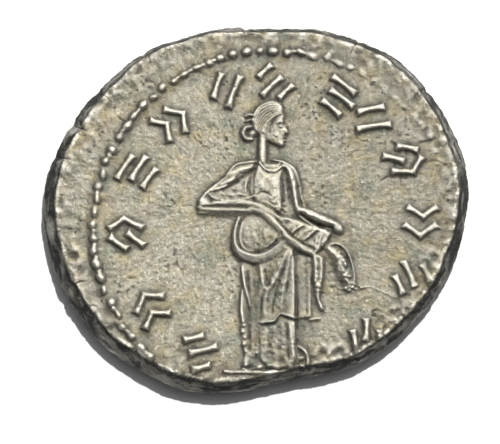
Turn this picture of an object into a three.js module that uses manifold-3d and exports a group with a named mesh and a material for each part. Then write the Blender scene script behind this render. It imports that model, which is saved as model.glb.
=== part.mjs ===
// A hammered Roman coin of base silver, lying flat on its portrait side with its reverse up.
// Millimetres, +Z up, +X to the right and +Y towards the top of the reverse.
// The origin is the middle of the coin's box, on the plane that it lies on.
import * as THREE from "three";
import { mergeVertices } from "three/addons/utils/BufferGeometryUtils.js";
import Module from "manifold-3d";

const wasm = await Module();
wasm.setup();

// Driving dimensions of the flan, the blank that was struck
const flanLength = 23.7; // long axis of the oval, at the bulge of the edge
const flanWidth = 20.7; // short axis
const flanTurn = 13; // degrees from +X to the long axis
const flanThickness = 1.1; // from field to field
const edgeBulge = 0.48; // how far the edge swells past the rim of the faces, on average
const edgeLean = 0.16; // how much more it swells towards the side named next
const edgeLeanTowards = 245; // degrees
const endSwell = 0.11; // how much more it swells at the ends of the oval than at its sides
const rimRadius = 0.12; // rounding where a face turns into the edge

// Driving dimensions of the reverse, struck off centre
const reverseOffset = new THREE.Vector2(1.05, -1.2); // middle of the die's beaded ring
const reverseBeadRing = 19.8; // diameter along the beads
const reverseBeads = 84;
const beadLength = 0.62; // along the ring
const beadWidth = 0.42;
const beadHeight = 0.17;
const legendRadius = 8.1; // from the die's middle to the middle of the strokes
const strokeLength = 1.95;
const strokeWidth = 0.46;
const strokeHeight = 0.22;
const figureHeight = 15; // from the ground line to the crown of the head
const figureFoot = new THREE.Vector2(0.85, -9.2); // middle of the ground line
const figureRelief = 0.33; // height of the boldest forms above the field
const wornRelief = 0.9; // share of it that wear has left

// Driving dimensions of the obverse
const obverseOffset = new THREE.Vector2(-0.4, 0.3);
const obverseBeadRing = 19.4;
const obverseBeads = 54;
const obverseLegendRadius = 8.2;
const bustHeight = 14.4; // from the cut of the bust to the tips of the crown
const bustRelief = 0.3; // height of the worn high points, which the coin lies on

const sink = 0.2; // how far every raised form is rooted in the flan
const canonSquares = 15; // the figure and the bust are drawn on a grid this many squares tall
const flanSectors = 72;
const underField = bustRelief;
const topField = bustRelief + flanThickness;

const radians = THREE.MathUtils.degToRad;

// How far an angle is along a bump of the given width: 1 at its middle, 0 at its ends
function bump(angle, at, width) {
  const away = Math.abs(THREE.MathUtils.euclideanModulo(angle - at + 180, 360) - 180);
  return away > width ? 0 : 0.5 + 0.5 * Math.cos((Math.PI * away) / width);
}

// Where the hammered outline leaves the plain oval: angle, width and depth of each swelling or flat
const outlineShape = [
  { at: 8, width: 12, out: 0.1 },
  { at: 46, width: 20, out: 0.2 },
  { at: 86, width: 20, out: -0.32 },
  { at: 125, width: 16, out: 0.24 },
  { at: 194, width: 18, out: -0.25 },
  { at: 212, width: 18, out: -0.2 },
  { at: 250, width: 16, out: 0.12 },
  { at: 282, width: 25, out: -0.48 },
];

// Splits of the rim from the hammering: angle, width and depth inwards
const rimSplits = [
  { at: 34, width: 1.3, depth: 0.5, length: 0.55 },
  { at: 58, width: 1.1, depth: 0.5, length: 0.7 },
  { at: 93, width: 1.2, depth: 0.4, length: 0.55 },
  { at: 126, width: 1.6, depth: 0.5, length: 0.6 },
  { at: 144, width: 1.4, depth: 0.4, length: 0.6 },
  { at: 156, width: 1.7, depth: 0.5, length: 0.75 },
  { at: 166, width: 1.3, depth: 0.45, length: 0.5 },
  { at: 205, width: 1.8, depth: 0.5, length: 0.8 },
  { at: 334, width: 1.2, depth: 0.35, length: 0.45 },
];

// Distance from the middle to the bulge of the edge
function bulgeRadius(degrees) {
  const a = flanLength / 2;
  const b = flanWidth / 2;
  const t = radians(degrees - flanTurn);
  const oval = (a * b) / Math.hypot(b * Math.cos(t), a * Math.sin(t));
  return outlineShape.reduce((r, s) => r + s.out * bump(degrees, s.at, s.width), oval);
}

// Distance from the middle to the rim of the faces, inside the bulge
function rimDistance(degrees) {
  const lean = edgeLean * Math.cos(radians(degrees - edgeLeanTowards));
  const ends = endSwell * Math.cos(2 * radians(degrees - flanTurn));
  return bulgeRadius(degrees) - (edgeBulge + lean + ends);
}

function solidOf(geometry) {
  geometry.deleteAttribute("normal");
  geometry.deleteAttribute("uv");
  const merged = mergeVertices(geometry, 1e-4);
  return new wasm.Manifold(
    new wasm.Mesh({
      numProp: 3,
      vertProperties: Float32Array.from(merged.attributes.position.array),
      triVerts: Uint32Array.from(merged.index.array),
    }),
  );
}

// Skins a stack of closed rings of equal length, from the lowest to the highest, and closes both ends
function skin(rings) {
  const n = rings[0].length;
  const points = rings.flat();
  const index = [];
  for (let k = 0; k + 1 < rings.length; k++) {
    for (let i = 0; i < n; i++) {
      const a = k * n + i;
      const b = k * n + ((i + 1) % n);
      index.push(a, b, b + n, a, b + n, a + n);
    }
  }
  const last = (rings.length - 1) * n;
  for (let i = 1; i + 1 < n; i++) index.push(0, i + 1, i, last, last + i, last + i + 1);
  return new THREE.BufferGeometry().setFromPoints(points).setIndex(index);
}

// The flan: two flat fields, a rounded rim and a bulging edge
function flan() {
  const ringAt = (distance, z) =>
    Array.from({ length: flanSectors }, (_, i) => {
      const degrees = (360 * i) / flanSectors;
      const r = distance(degrees);
      return new THREE.Vector3(r * Math.cos(radians(degrees)), r * Math.sin(radians(degrees)), z);
    });
  const rimInner = (d) => rimDistance(d) - rimRadius;
  const between = (share) => (d) => THREE.MathUtils.lerp(rimDistance(d), bulgeRadius(d), share);
  return solidOf(
    skin([
      ringAt(rimInner, underField),
      ringAt(rimDistance, underField + rimRadius),
      ringAt(between(0.75), underField + 0.28 * flanThickness),
      ringAt(bulgeRadius, underField + 0.5 * flanThickness),
      ringAt(between(0.75), underField + 0.74 * flanThickness),
      ringAt(rimDistance, topField - rimRadius),
      ringAt(rimInner, topField),
    ]),
  );
}

// A wedge that opens a split in the rim, right through the flan's edge
function splitWedge({ at, width, depth, length }) {
  const reach = bulgeRadius(at) + 1;
  const start = rimDistance(at) - length;
  const half = radians(width) * bulgeRadius(at) * 0.5;
  const shape = new THREE.Shape([
    new THREE.Vector2(start, 0),
    new THREE.Vector2(reach, -half * 1.6),
    new THREE.Vector2(reach, half * 1.6),
  ]);
  const wedge = new THREE.ExtrudeGeometry(shape, { depth: 2 * depth, bevelEnabled: false });
  wedge.translate(0, 0, topField - depth);
  wedge.rotateZ(radians(at));
  return solidOf(wedge);
}

// A raised form that follows a smooth line: the half widths and heights are spread along it.
// `facets` is 2 for a keen fold, 3 for a flat-topped bar and 5 for a round limb.
function ridge(points, widths, heights, { facets = 3, steps = points.length, closeBy = 0.6 } = {}) {
  const line = new THREE.CatmullRomCurve3(points.map((p) => new THREE.Vector3(p.x, p.y, 0)));
  const spread = (values, t) => {
    const s = t * (values.length - 1);
    const i = Math.min(Math.floor(s), values.length - 2);
    return values.length === 1 ? values[0] : THREE.MathUtils.lerp(values[i], values[i + 1], s - i);
  };
  const crest = { 2: [0], 3: [-0.4, 0.4], 5: [-0.8, -0.32, 0.32, 0.8] }[facets];
  const crestHeight = (c) => (facets === 5 && Math.abs(c) > 0.5 ? 0.62 : 1);
  const sections = [];
  for (let i = 0; i <= steps; i++) {
    const t = i / steps;
    const along = line.getTangent(t);
    const across = new THREE.Vector3(-along.y, along.x, 0);
    const end = i === 0 ? -1 : i === steps ? 1 : 0;
    const width = spread(widths, t);
    // At an end the foot reaches past the crest and draws in, so that the form runs out in a slope
    const foot = (side) =>
      line.getPoint(t)
        .addScaledVector(along, end * closeBy * width)
        .addScaledVector(across, side * width * (end ? 0.7 : 1))
        .setZ(-sink);
    const top = (c) =>
      line.getPoint(t)
        .addScaledVector(across, -c * width)
        .setZ(spread(heights, t) * crestHeight(c));
    sections.push([foot(1), ...crest.map(top), foot(-1)]);
  }
  return solidOf(skin(sections));
}

// A raised form with a closed smooth outline, domed towards its middle
function mound(points, height, { sides = Math.round(1.5 * points.length), crown = 0.6 } = {}) {
  const line = new THREE.CatmullRomCurve3(points.map((p) => new THREE.Vector3(p.x, p.y, 0)), true);
  const outline = line.getPoints(sides).slice(0, -1);
  const middle = outline.reduce((s, p) => s.add(p), new THREE.Vector3()).divideScalar(sides);
  const ringAt = (share, z) => outline.map((p) => middle.clone().lerp(p, share).setZ(z));
  if (THREE.ShapeUtils.area(outline) < 0) outline.reverse();
  return solidOf(skin([ringAt(1, -sink), ringAt(0.88, 0.6 * height), ringAt(crown, height)]));
}

// A die cuts one side: the forms are drawn on the die's own grid, seen from the front
class Die {
  constructor(origin, square, relief) {
    this.origin = origin;
    this.square = square;
    this.relief = relief;
    this.forms = [];
  }
  place(points) {
    return points.map(([u, v]) => new THREE.Vector2(u, v).multiplyScalar(this.square).add(this.origin));
  }
  // Widths are in squares of the grid, and heights in shares of the boldest relief
  ridge(points, widths, heights, options) {
    const w = widths.map((x) => x * this.square);
    const h = heights.map((x) => x * this.relief);
    this.forms.push(ridge(this.place(points), w, h, options));
  }
  mound(points, height, options) {
    this.forms.push(mound(this.place(points), height * this.relief, options));
  }
  oval([u, v], halfWidth, halfHeight, turn, height, options) {
    const points = Array.from({ length: 6 }, (_, i) => {
      const a = (i * Math.PI) / 3;
      const p = new THREE.Vector2(halfWidth * Math.cos(a), halfHeight * Math.sin(a));
      p.rotateAround(new THREE.Vector2(), radians(turn));
      return [u + p.x, v + p.y];
    });
    this.mound(points, height, options);
  }
}

// Head in profile, drawn on plain thirds from hairline to brow to nose to chin, with the hair
// combed over the crown into a knot at the nape
function figureHead(die) {
  const chin = 12.4;
  const third = 0.66;
  const profile = [
    [0.5, chin + 3.5 * third], [0.78, chin + 3 * third], [0.86, chin + 2 * third], [1.1, chin + 1.2 * third],
    [0.88, chin + third], [0.9, chin + 0.5 * third], [0.74, chin], [0.2, 12.6], [-0.5, 13.0], [-0.85, 13.7],
    [-0.65, 14.6], [0.0, 15.0],
  ];
  die.mound(profile, 0.8, { sides: profile.length });
  die.ridge([[0.75, 14.6], [0.0, 14.75], [-0.65, 14.1], [-0.8, 13.3]], [0.16, 0.24, 0.24, 0.16], [0.95, 1.05, 1, 0.85], { steps: 4 });
  die.ridge([[0.7, 14.35], [0.2, 13.8], [-0.5, 13.2]], [0.12, 0.17, 0.12], [0.95, 1, 0.85], { facets: 2, steps: 3 });
  die.oval([-1.15, 13.15], 0.42, 0.33, 20, 0.75);
  die.ridge([[-0.32, 12.9], [-0.3, 11.6]], [0.34, 0.4], [0.68], { facets: 5, steps: 1 });
}

// Trunk and the two sleeved arms that hold the horn
function figureTrunk(die) {
  die.mound([[-0.9, 11.0], [-0.3, 11.45], [0.3, 11.5], [1.0, 11.1], [1.25, 10.2], [1.1, 9.2], [0.9, 8.5], [0.1, 8.5], [-0.65, 8.9], [-0.9, 10.0]], 0.8);
  for (const drop of [0, 0.22]) {
    die.ridge([[-0.6, 11.4 - drop], [0.05, 11.02 - drop], [0.7, 11.4 - drop]], [0.08], [0.8], { facets: 2, steps: 3 });
  }
  for (const [u, v] of [[-0.4, 9.7], [0.3, 9.25]]) {
    die.ridge([[u, v], [u + 0.3, v - 0.12], [u + 0.6, v - 0.02]], [0.07], [0.78], { facets: 2, steps: 2 });
  }
  die.mound([[-1.6, 8.3], [-0.6, 8.6], [0.4, 8.3], [0.9, 7.6], [0.6, 6.9], [-0.4, 6.5], [-1.3, 6.6], [-1.75, 7.4]], 0.62);
  die.mound([[-2.0, 11.3], [-1.0, 11.1], [-0.9, 10.2], [-1.0, 9.4], [-2.2, 9.4], [-3.5, 9.4], [-3.6, 9.9], [-2.8, 10.6]], 0.48);
  die.ridge([[-0.75, 11.4], [-1.9, 11.2], [-2.7, 10.45], [-3.5, 9.75], [-3.95, 9.2]], [0.3, 0.42, 0.44, 0.4, 0.32], [0.66, 0.8, 0.82, 0.76, 0.7], { facets: 5, steps: 6 });
  die.ridge([[-3.9, 9.1], [-2.7, 9.25], [-1.4, 9.2], [-0.5, 8.95], [0.1, 8.6]], [0.32, 0.36, 0.34, 0.33, 0.28], [0.72, 0.82, 0.86, 0.9, 0.9], { facets: 5, steps: 6 });
  die.ridge([[1.0, 11.3], [1.42, 10.6], [1.55, 9.8], [1.62, 9.0]], [0.32, 0.38, 0.36, 0.34], [0.7, 0.82, 0.84, 0.86], { facets: 5, steps: 5 });
  die.ridge([[1.65, 8.8], [2.6, 8.4], [3.55, 7.98]], [0.34, 0.34, 0.27], [0.86, 0.95, 0.98], { facets: 5, steps: 4 });
  die.oval([3.75, 7.72], 0.42, 0.34, -40, 1);
}

// The horn of plenty, held across the body and tipped down to the right
function horn(die) {
  die.ridge([[-4.05, 8.75], [-2.6, 8.78], [-1.2, 8.82]], [0.14, 0.2, 0.25], [0.3, 0.42, 0.55], { facets: 3, steps: 3 });
  die.ridge([[-1.2, 8.85], [-0.3, 8.62], [0.5, 8.2], [1.3, 7.72], [2.1, 7.3], [2.7, 7.0]], [0.25, 0.32, 0.45, 0.6, 0.7, 0.72], [0.6, 0.68, 0.74, 0.78, 0.78, 0.76], { facets: 5, steps: 8 });
  for (const u of [0.55, 1.2, 1.85]) {
    const v = 7.95 - 0.46 * (u - 0.55);
    die.ridge([[u - 0.1, v - 0.4], [u + 0.2, v + 0.06], [u + 0.55, v + 0.4]], [0.1], [0.86, 0.92, 0.86], { facets: 2, steps: 2 });
  }
  die.ridge([[2.38, 6.3], [2.92, 6.92], [3.25, 7.62]], [0.14, 0.15, 0.12], [1, 1, 0.95], { facets: 3, steps: 3 });
}

// What pours out of the horn, with its outer rim and the cups that fill it
function pouredFruit(die) {
  const axis = [[3.4, 6.8], [3.95, 6.15], [4.25, 5.3], [4.4, 4.5]];
  die.ridge(axis, [0.36, 0.5, 0.5, 0.32], [0.5, 0.68, 0.68, 0.5], { facets: 5, steps: 5 });
  die.ridge([[3.2, 7.05], [3.95, 6.95], [4.45, 6.2], [4.65, 5.2], [4.6, 4.7]], [0.12], [0.85], { facets: 2, steps: 6 });
  const line = new THREE.SplineCurve(axis.map(([u, v]) => new THREE.Vector2(u, v)));
  for (const t of [0.2, 0.42, 0.64, 0.86]) {
    const { x, y } = line.getPoint(t);
    die.oval([x, y], 0.27, 0.16, 25, 0.92);
  }
  die.ridge([[4.1, 4.35], [4.5, 4.25], [4.9, 4.55]], [0.12, 0.15, 0.1], [0.7], { facets: 2, steps: 2 });
}

// The mantle: the roll round the hips, and the end that hangs from the arm
function mantle(die) {
  die.ridge([[-1.65, 8.45], [-1.93, 7.5], [-1.72, 6.62], [-1.15, 6.25], [-0.4, 6.22], [0.3, 6.6], [0.95, 7.1]], [0.2, 0.27, 0.3, 0.32, 0.34, 0.32, 0.26], [0.62, 0.74, 0.8, 0.86, 0.86, 0.8, 0.7], { facets: 5, steps: 10 });
  die.ridge([[1.8, 6.5], [1.85, 4.6], [1.8, 2.3]], [0.42, 0.46, 0.4], [0.38, 0.38, 0.32], { facets: 3, steps: 3 });
  die.ridge([[2.5, 6.35], [2.6, 5.1], [2.55, 4.2], [2.8, 3.3]], [0.27, 0.32, 0.22, 0.1], [0.7, 0.75, 0.6, 0.4], { facets: 3, steps: 4 });
}

// The long skirt: a broad mass, the leg under it, and the folds, which fan out above the hem
function skirt(die) {
  die.ridge([[-0.15, 6.3], [-0.1, 3.4], [-0.05, 0.35]], [1.35, 1.5, 1.5], [0.46, 0.5, 0.42], { facets: 5, steps: 3, closeBy: 0.05 });
  die.ridge([[-1.55, 6.0], [-1.5, 4.1], [-1.55, 1.9], [-1.4, 0.4]], [0.2, 0.24, 0.24, 0.2], [0.72, 0.78, 0.74, 0.62], { facets: 3, steps: 5 });
  die.ridge([[-0.85, 6.0], [-0.75, 3.6], [-0.85, 0.5]], [0.32, 0.36, 0.3], [0.7, 0.82, 0.68], { facets: 5, steps: 3 });
  const folds = [
    [[-0.5, 5.9], [-0.3, 4.2]],
    [[0.7, 6.7], [0.5, 5.2], [-0.05, 4.0], [-0.2, 2.8]],
    [[0.85, 6.6], [0.8, 4.6], [0.45, 3.0]],
    [[1.15, 6.6], [1.15, 4.6], [1.15, 3.0]],
  ];
  for (const fold of folds) {
    die.ridge(fold, [0.14, 0.18, 0.15], [0.75, 0.82, 0.74], { facets: 2, steps: fold.length });
  }
  die.ridge([[-0.45, 2.7], [0.1, 2.6], [0.45, 3.0], [1.3, 2.85]], [0.12], [0.8], { facets: 3, steps: 5 });
  for (const u of [-0.3, 0.2, 0.7, 1.2]) {
    die.ridge([[u, 2.4], [u + 0.03, 0.4]], [0.15, 0.18], [0.64, 0.68], { facets: 2, steps: 1 });
  }
}

// Feet, and the line that the figure stands on
function footing(die) {
  die.ridge([[-1.6, 0.2], [-0.9, 0.18]], [0.12, 0.14], [0.55, 0.5], { facets: 3, steps: 1 });
  die.ridge([[-0.7, 0.2], [0.1, 0.18]], [0.12, 0.14], [0.55, 0.5], { facets: 3, steps: 1 });
  die.ridge([[1.3, 1.3], [1.85, 0.8], [1.95, 0.25]], [0.12, 0.15, 0.12], [0.5, 0.58, 0.5], { facets: 3, steps: 3 });
  die.ridge([[-2.4, -0.1], [1.1, -0.05]], [0.09], [0.4], { facets: 3, steps: 1 });
}

// Shallow strokes in the legend's place. Each place holds a group of slanting bars and hooks.
// Across and along are in shares of a stroke's length; along points away from the die's middle.
const strokeGroups = {
  slants: [
    [[-0.46, -0.1], [-0.06, 0.46]],
    [[-0.14, -0.48], [0.42, 0.22]],
  ],
  hooks: [
    [[-0.4, -0.34], [-0.12, 0.06], [-0.38, 0.44]],
    [[0.1, -0.46], [0.42, -0.04], [0.12, 0.4]],
  ],
  comb: [
    [[-0.46, 0.16], [-0.16, 0.46]],
    [[-0.36, -0.38], [0.14, 0.12]],
    [[0.12, -0.46], [0.46, -0.12]],
  ],
  hookAndSlants: [
    [[-0.42, 0.02], [-0.1, 0.44]],
    [[-0.34, -0.46], [0.0, -0.06]],
    [[0.16, -0.44], [0.44, 0.06], [0.18, 0.46]],
  ],
  ladder: [
    [[-0.42, 0.44], [0.3, 0.3]],
    [[-0.3, 0.06], [0.42, -0.06]],
    [[-0.38, -0.32], [0.2, -0.46]],
  ],
};

const reverseLegend = [
  [239, "comb"], [214, "hooks"], [183, "hookAndSlants"], [157.5, "ladder"], [134, "hooks"], [108, "slants"],
  [89, "comb"], [63, "ladder"], [47, "slants"], [27, "hookAndSlants"], [1.5, "hooks"], [-21.5, "comb"],
  [-51.5, "hookAndSlants"],
];

// The obverse has a group every few degrees round the bust, left clear below it
const obverseLegendFrom = 228;
const obverseLegendTo = -42;
const obverseLegendCount = 12;

function legend(middle, radius, places) {
  const forms = [];
  for (const [degrees, group] of places) {
    const outward = new THREE.Vector2(Math.cos(radians(degrees)), Math.sin(radians(degrees)));
    const across = new THREE.Vector2(outward.y, -outward.x);
    for (const stroke of strokeGroups[group]) {
      const points = stroke.map(([a, b]) =>
        middle.clone()
          .addScaledVector(outward, radius + b * strokeLength)
          .addScaledVector(across, a * strokeLength),
      );
      const w = strokeWidth / 2;
      forms.push(ridge(points, [w, 0.8 * w, w], [strokeHeight], { steps: stroke.length - 1 }));
    }
  }
  return forms;
}

function beadRing(middle, diameter, count) {
  const forms = [];
  for (let i = 0; i < count; i++) {
    const a = (2 * Math.PI * i) / count;
    const bead = new THREE.SphereGeometry(1, 6, 2);
    bead.rotateX(Math.PI / 2);
    bead.scale(beadWidth / 2, beadLength / 2, beadHeight);
    bead.translate(diameter / 2, 0, 0);
    bead.rotateZ(a);
    bead.translate(middle.x, middle.y, 0);
    forms.push(solidOf(bead));
  }
  return forms;
}

// The bust on the obverse: a head in profile to the right, on plain thirds from hairline to chin
function bustHead(die) {
  const chin = 5.8;
  const third = 1.7;
  const profile = [
    [1.5, 12.0], [2.15, chin + 3 * third], [2.4, chin + 2.25 * third], [2.25, chin + 1.95 * third],
    [3.05, chin + 1.2 * third], [2.5, chin + third], [2.7, chin + 0.8 * third], [2.45, chin + 0.66 * third],
    [2.65, chin + 0.52 * third], [2.35, chin + 0.36 * third], [2.4, chin + 0.1 * third], [1.9, chin - 0.2],
    [0.4, 6.2], [-1.4, 7.2], [-2.8, 8.6], [-3.1, 10.3], [-2.0, 11.8], [-0.2, 12.5],
  ];
  die.mound(profile, 0.82, { sides: profile.length, crown: 0.7 });
  die.ridge([[1.3, chin + 2 * third], [1.75, chin + 2.15 * third], [2.2, chin + 2 * third]], [0.15], [0.98], { facets: 2, steps: 2 });
  die.oval([1.6, chin + 1.72 * third], 0.32, 0.2, 0, 0.98);
  die.ridge([[0.0, 7.9], [-0.35, 8.5], [0.0, 9.0]], [0.2, 0.28, 0.2], [1.08], { steps: 2 });
  die.mound([[-1.9, 7.4], [0.2, 6.4], [1.1, 5.2], [1.1, 3.7], [-0.6, 3.2], [-2.1, 3.9], [-2.1, 5.6]], 0.72);
}

// Short locks in rows that follow the skull, shorter towards the nape
function bustHair(die) {
  const rows = 4;
  for (let row = 0; row < rows; row++) {
    const reach = 2.75 - 0.62 * row;
    const locks = 5 - row;
    for (let i = 0; i < locks; i++) {
      const a = radians(200 - (118 * (i + 0.5)) / locks);
      const [u, v] = [-0.35 + reach * Math.cos(a), 9.7 + 0.85 * reach * Math.sin(a)];
      const swing = a - Math.PI / 2 - 0.5;
      const tip = [u + 0.75 * Math.cos(swing), v + 0.75 * Math.sin(swing)];
      die.ridge([[u, v], tip], [0.3, 0.14], [1.05, 0.95], { facets: 2, steps: 1 });
    }
  }
}

// The crown: a band with six spikes, tied behind with two ribbon ends
function bustCrown(die) {
  die.ridge([[2.3, 11.2], [0.9, 11.3], [-1.1, 10.6], [-2.9, 9.4]], [0.26], [1.1], { steps: 4 });
  const spikes = 6;
  for (let i = 0; i < spikes; i++) {
    const t = i / (spikes - 1);
    const foot = [-2.6 + 4.6 * t, 10.6 + 1.3 * Math.sin(Math.PI * (0.12 + 0.66 * t))];
    const lean = radians(138 - 78 * t);
    const tip = [foot[0] + 2.5 * Math.cos(lean), foot[1] + 2.5 * Math.sin(lean)];
    die.ridge([foot, tip], [0.5, 0.14], [1, 0.6], { facets: 2, steps: 1 });
  }
  die.ridge([[-2.9, 9.3], [-3.9, 8.3], [-3.6, 7.0]], [0.2, 0.28, 0.2], [0.7, 0.7, 0.5], { steps: 2 });
  die.ridge([[-2.8, 9.1], [-3.0, 7.6], [-3.3, 6.1]], [0.18, 0.26, 0.2], [0.7, 0.7, 0.5], { steps: 2 });
}

// A cloak over both shoulders, with folds that sweep round the neck
function bustDrapery(die) {
  const cloak = [
    [-5.0, 1.3], [-4.2, 3.0], [-2.5, 4.1], [-0.8, 3.7], [1.1, 4.1], [3.0, 3.3], [4.3, 1.7], [3.4, 0.4],
    [1.6, 0.1], [-1.6, 0.1], [-3.6, 0.4],
  ];
  die.mound(cloak, 0.66, { sides: cloak.length, crown: 0.7 });
  const folds = 4;
  for (let i = 0; i < folds; i++) {
    const drop = i / (folds - 1);
    const from = [-3.0 - 1.2 * drop, 3.7 - 1.5 * drop];
    const low = [-0.9 - 0.5 * drop, 2.4 - 1.7 * drop];
    const to = [1.9 + 1.5 * drop, 3.4 - 1.5 * drop];
    die.ridge([from, low, [0.8, low[1] + 0.2], to], [0.18, 0.3, 0.3, 0.18], [0.95, 1.1, 1.1, 0.95], { steps: 4 });
  }
  die.oval([2.7, 3.2], 0.55, 0.55, 0, 1.1);
}

// Joins forms that stand on the plane z = 0, and trims them to the face of the flan
function faceRelief(forms, mirrored) {
  const side = mirrored ? -1 : 1;
  const outline = Array.from({ length: flanSectors }, (_, i) => {
    const degrees = (360 * i) / flanSectors;
    const r = rimDistance(degrees) - 1.2 * rimRadius;
    return new THREE.Vector2(side * r * Math.cos(radians(degrees)), r * Math.sin(radians(degrees)));
  });
  if (mirrored) outline.reverse();
  const tall = 4 * figureRelief + 2 * sink;
  const trim = new THREE.ExtrudeGeometry(new THREE.Shape(outline), { depth: tall, bevelEnabled: false });
  trim.translate(0, 0, -tall / 2);
  return forms.reduce((a, b) => a.add(b)).intersect(solidOf(trim));
}

function reverseSide() {
  const die = new Die(figureFoot, figureHeight / canonSquares, figureRelief);
  figureTrunk(die);
  horn(die);
  pouredFruit(die);
  mantle(die);
  skirt(die);
  footing(die);
  figureHead(die);
  const forms = [
    ...die.forms,
    ...legend(reverseOffset, legendRadius, reverseLegend),
    ...beadRing(reverseOffset, reverseBeadRing, reverseBeads),
  ];
  return faceRelief(forms, false).translate(0, 0, topField);
}

function obverseSide() {
  const square = bustHeight / canonSquares;
  const die = new Die(obverseOffset.clone().add(new THREE.Vector2(0, -bustHeight / 2)), square, bustRelief);
  bustDrapery(die);
  bustHead(die);
  bustHair(die);
  bustCrown(die);
  const groups = Object.keys(strokeGroups);
  const places = Array.from({ length: obverseLegendCount }, (_, i) => [
    THREE.MathUtils.lerp(obverseLegendFrom, obverseLegendTo, i / (obverseLegendCount - 1)),
    groups[i % groups.length],
  ]);
  const forms = [
    ...die.forms,
    ...legend(obverseOffset, obverseLegendRadius, places),
    ...beadRing(obverseOffset, obverseBeadRing, obverseBeads),
  ];
  // Turned over about the coin's upright axis
  return faceRelief(forms, true).rotate(0, 180, 0).translate(0, 0, underField);
}

// The high points of both sides were worn flat, so that the coin lies steady either way up
function wear() {
  const thick = 1;
  const below = new THREE.BoxGeometry(2 * flanLength, 2 * flanLength, thick);
  below.translate(0, 0, -thick / 2);
  const above = new THREE.BoxGeometry(2 * flanLength, 2 * flanLength, thick);
  above.translate(0, 0, topField + wornRelief * figureRelief + thick / 2);
  return solidOf(below).add(solidOf(above));
}

function meshGeometry(solid) {
  const { numProp, numVert, vertProperties, triVerts } = solid.getMesh();
  const points = Array.from(
    { length: numVert },
    (_, i) => new THREE.Vector3(...vertProperties.subarray(i * numProp, i * numProp + 3)),
  );
  const geometry = new THREE.BufferGeometry().setFromPoints(points).setIndex(Array.from(triVerts));
  geometry.computeBoundingBox();
  const { x, y } = geometry.boundingBox.getCenter(new THREE.Vector3());
  geometry.translate(-x, -y, 0);
  geometry.computeVertexNormals();
  return geometry;
}

const struck = rimSplits
  .reduce((solid, split) => solid.subtract(splitWedge(split)), flan())
  .add(reverseSide())
  .add(obverseSide())
  .subtract(wear());

const billon = new THREE.MeshStandardMaterial({ color: 0xaaa38f, metalness: 0.85, roughness: 0.42 });
const coin = new THREE.Mesh(meshGeometry(struck), billon);
coin.name = "coin";

const part = new THREE.Group();
part.add(coin);
export default part;
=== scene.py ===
import math

import bpy
import numpy as np
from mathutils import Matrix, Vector


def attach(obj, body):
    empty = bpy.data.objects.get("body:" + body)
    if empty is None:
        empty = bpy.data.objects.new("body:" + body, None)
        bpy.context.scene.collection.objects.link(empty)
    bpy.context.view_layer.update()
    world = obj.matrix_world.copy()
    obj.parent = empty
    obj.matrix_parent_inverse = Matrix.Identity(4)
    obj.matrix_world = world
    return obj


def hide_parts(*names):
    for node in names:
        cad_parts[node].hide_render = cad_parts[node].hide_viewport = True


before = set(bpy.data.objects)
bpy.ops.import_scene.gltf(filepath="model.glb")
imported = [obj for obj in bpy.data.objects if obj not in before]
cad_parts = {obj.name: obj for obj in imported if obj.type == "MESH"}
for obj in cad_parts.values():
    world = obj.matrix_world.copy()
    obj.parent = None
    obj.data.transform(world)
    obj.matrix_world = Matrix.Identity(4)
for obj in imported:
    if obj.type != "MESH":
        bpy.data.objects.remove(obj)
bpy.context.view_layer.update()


# The setting: a plain white table top, a soft lamp beyond the top of the picture and a little to
# the right, and a room that is bright on that far side and dark on the near side.
def aimed_at(location, target):
    return (Vector(target) - Vector(location)).to_track_quat("-Z", "Y").to_euler()


LAMP_AZIMUTH = math.radians(71.0)
LAMP_ELEVATION = math.radians(57.0)
LAMP_DISTANCE = 0.60
lamp_data = bpy.data.lights.new("soft_lamp", "AREA")
lamp_data.shape = "DISK"
lamp_data.size = 0.045
lamp_data.energy = 5.2
lamp_data.color = (1.0, 0.975, 0.91)
lamp = bpy.data.objects.new("soft_lamp", lamp_data)
lamp.location = LAMP_DISTANCE * Vector(
    (
        math.cos(LAMP_ELEVATION) * math.cos(LAMP_AZIMUTH),
        math.cos(LAMP_ELEVATION) * math.sin(LAMP_AZIMUTH),
        math.sin(LAMP_ELEVATION),
    )
)
lamp.rotation_euler = aimed_at(lamp.location, (0.0, 0.0, 0.0))
bpy.context.scene.collection.objects.link(lamp)

room = bpy.data.worlds.new("room")
room.use_nodes = True
bpy.context.scene.world = room
room_nodes = room.node_tree.nodes
room_links = room.node_tree.links
room_place = room_nodes.new("ShaderNodeTexCoord")
room_side = room_nodes.new("ShaderNodeVectorMath")
room_side.operation = "DOT_PRODUCT"
room_side.inputs[1].default_value = (0.16, 0.60, 0.784)  # towards its bright side
room_links.new(room_place.outputs["Generated"], room_side.inputs[0])
room_tone = room_nodes.new("ShaderNodeValToRGB")
room_links.new(room_side.outputs["Value"], room_tone.inputs[0])
tones = room_tone.color_ramp
tones.elements[0].position = 0.0
tones.elements[0].color = (0.04, 0.04, 0.04, 1)
tones.elements[1].position = 1.0
tones.elements[1].color = (1.0, 1.0, 1.0, 1)
for position, tone in ((0.35, 0.055), (0.6, 0.14), (0.76, 0.30), (0.88, 0.50)):
    tones.elements.new(position).color = (0.98 * tone, 0.99 * tone, 1.01 * tone, 1)
room_links.new(room_tone.outputs[0], room_nodes["Background"].inputs["Color"])
room_nodes["Background"].inputs["Strength"].default_value = 1.0

bpy.ops.object.select_all(action="DESELECT")
bpy.ops.mesh.primitive_plane_add(size=1.2, location=(0.0, 0.0, 0.0))
table_top = bpy.context.object
table_top.name = "table_top"
white_card = bpy.data.materials.new("white_card")
white_card.use_nodes = True
card = white_card.node_tree.nodes["Principled BSDF"]
card.inputs["Base Color"].default_value = (0.95, 0.95, 0.95, 1)
card.inputs["Roughness"].default_value = 0.9
card.inputs["Specular IOR Level"].default_value = 0.2
table_top.data.materials.append(white_card)

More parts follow.
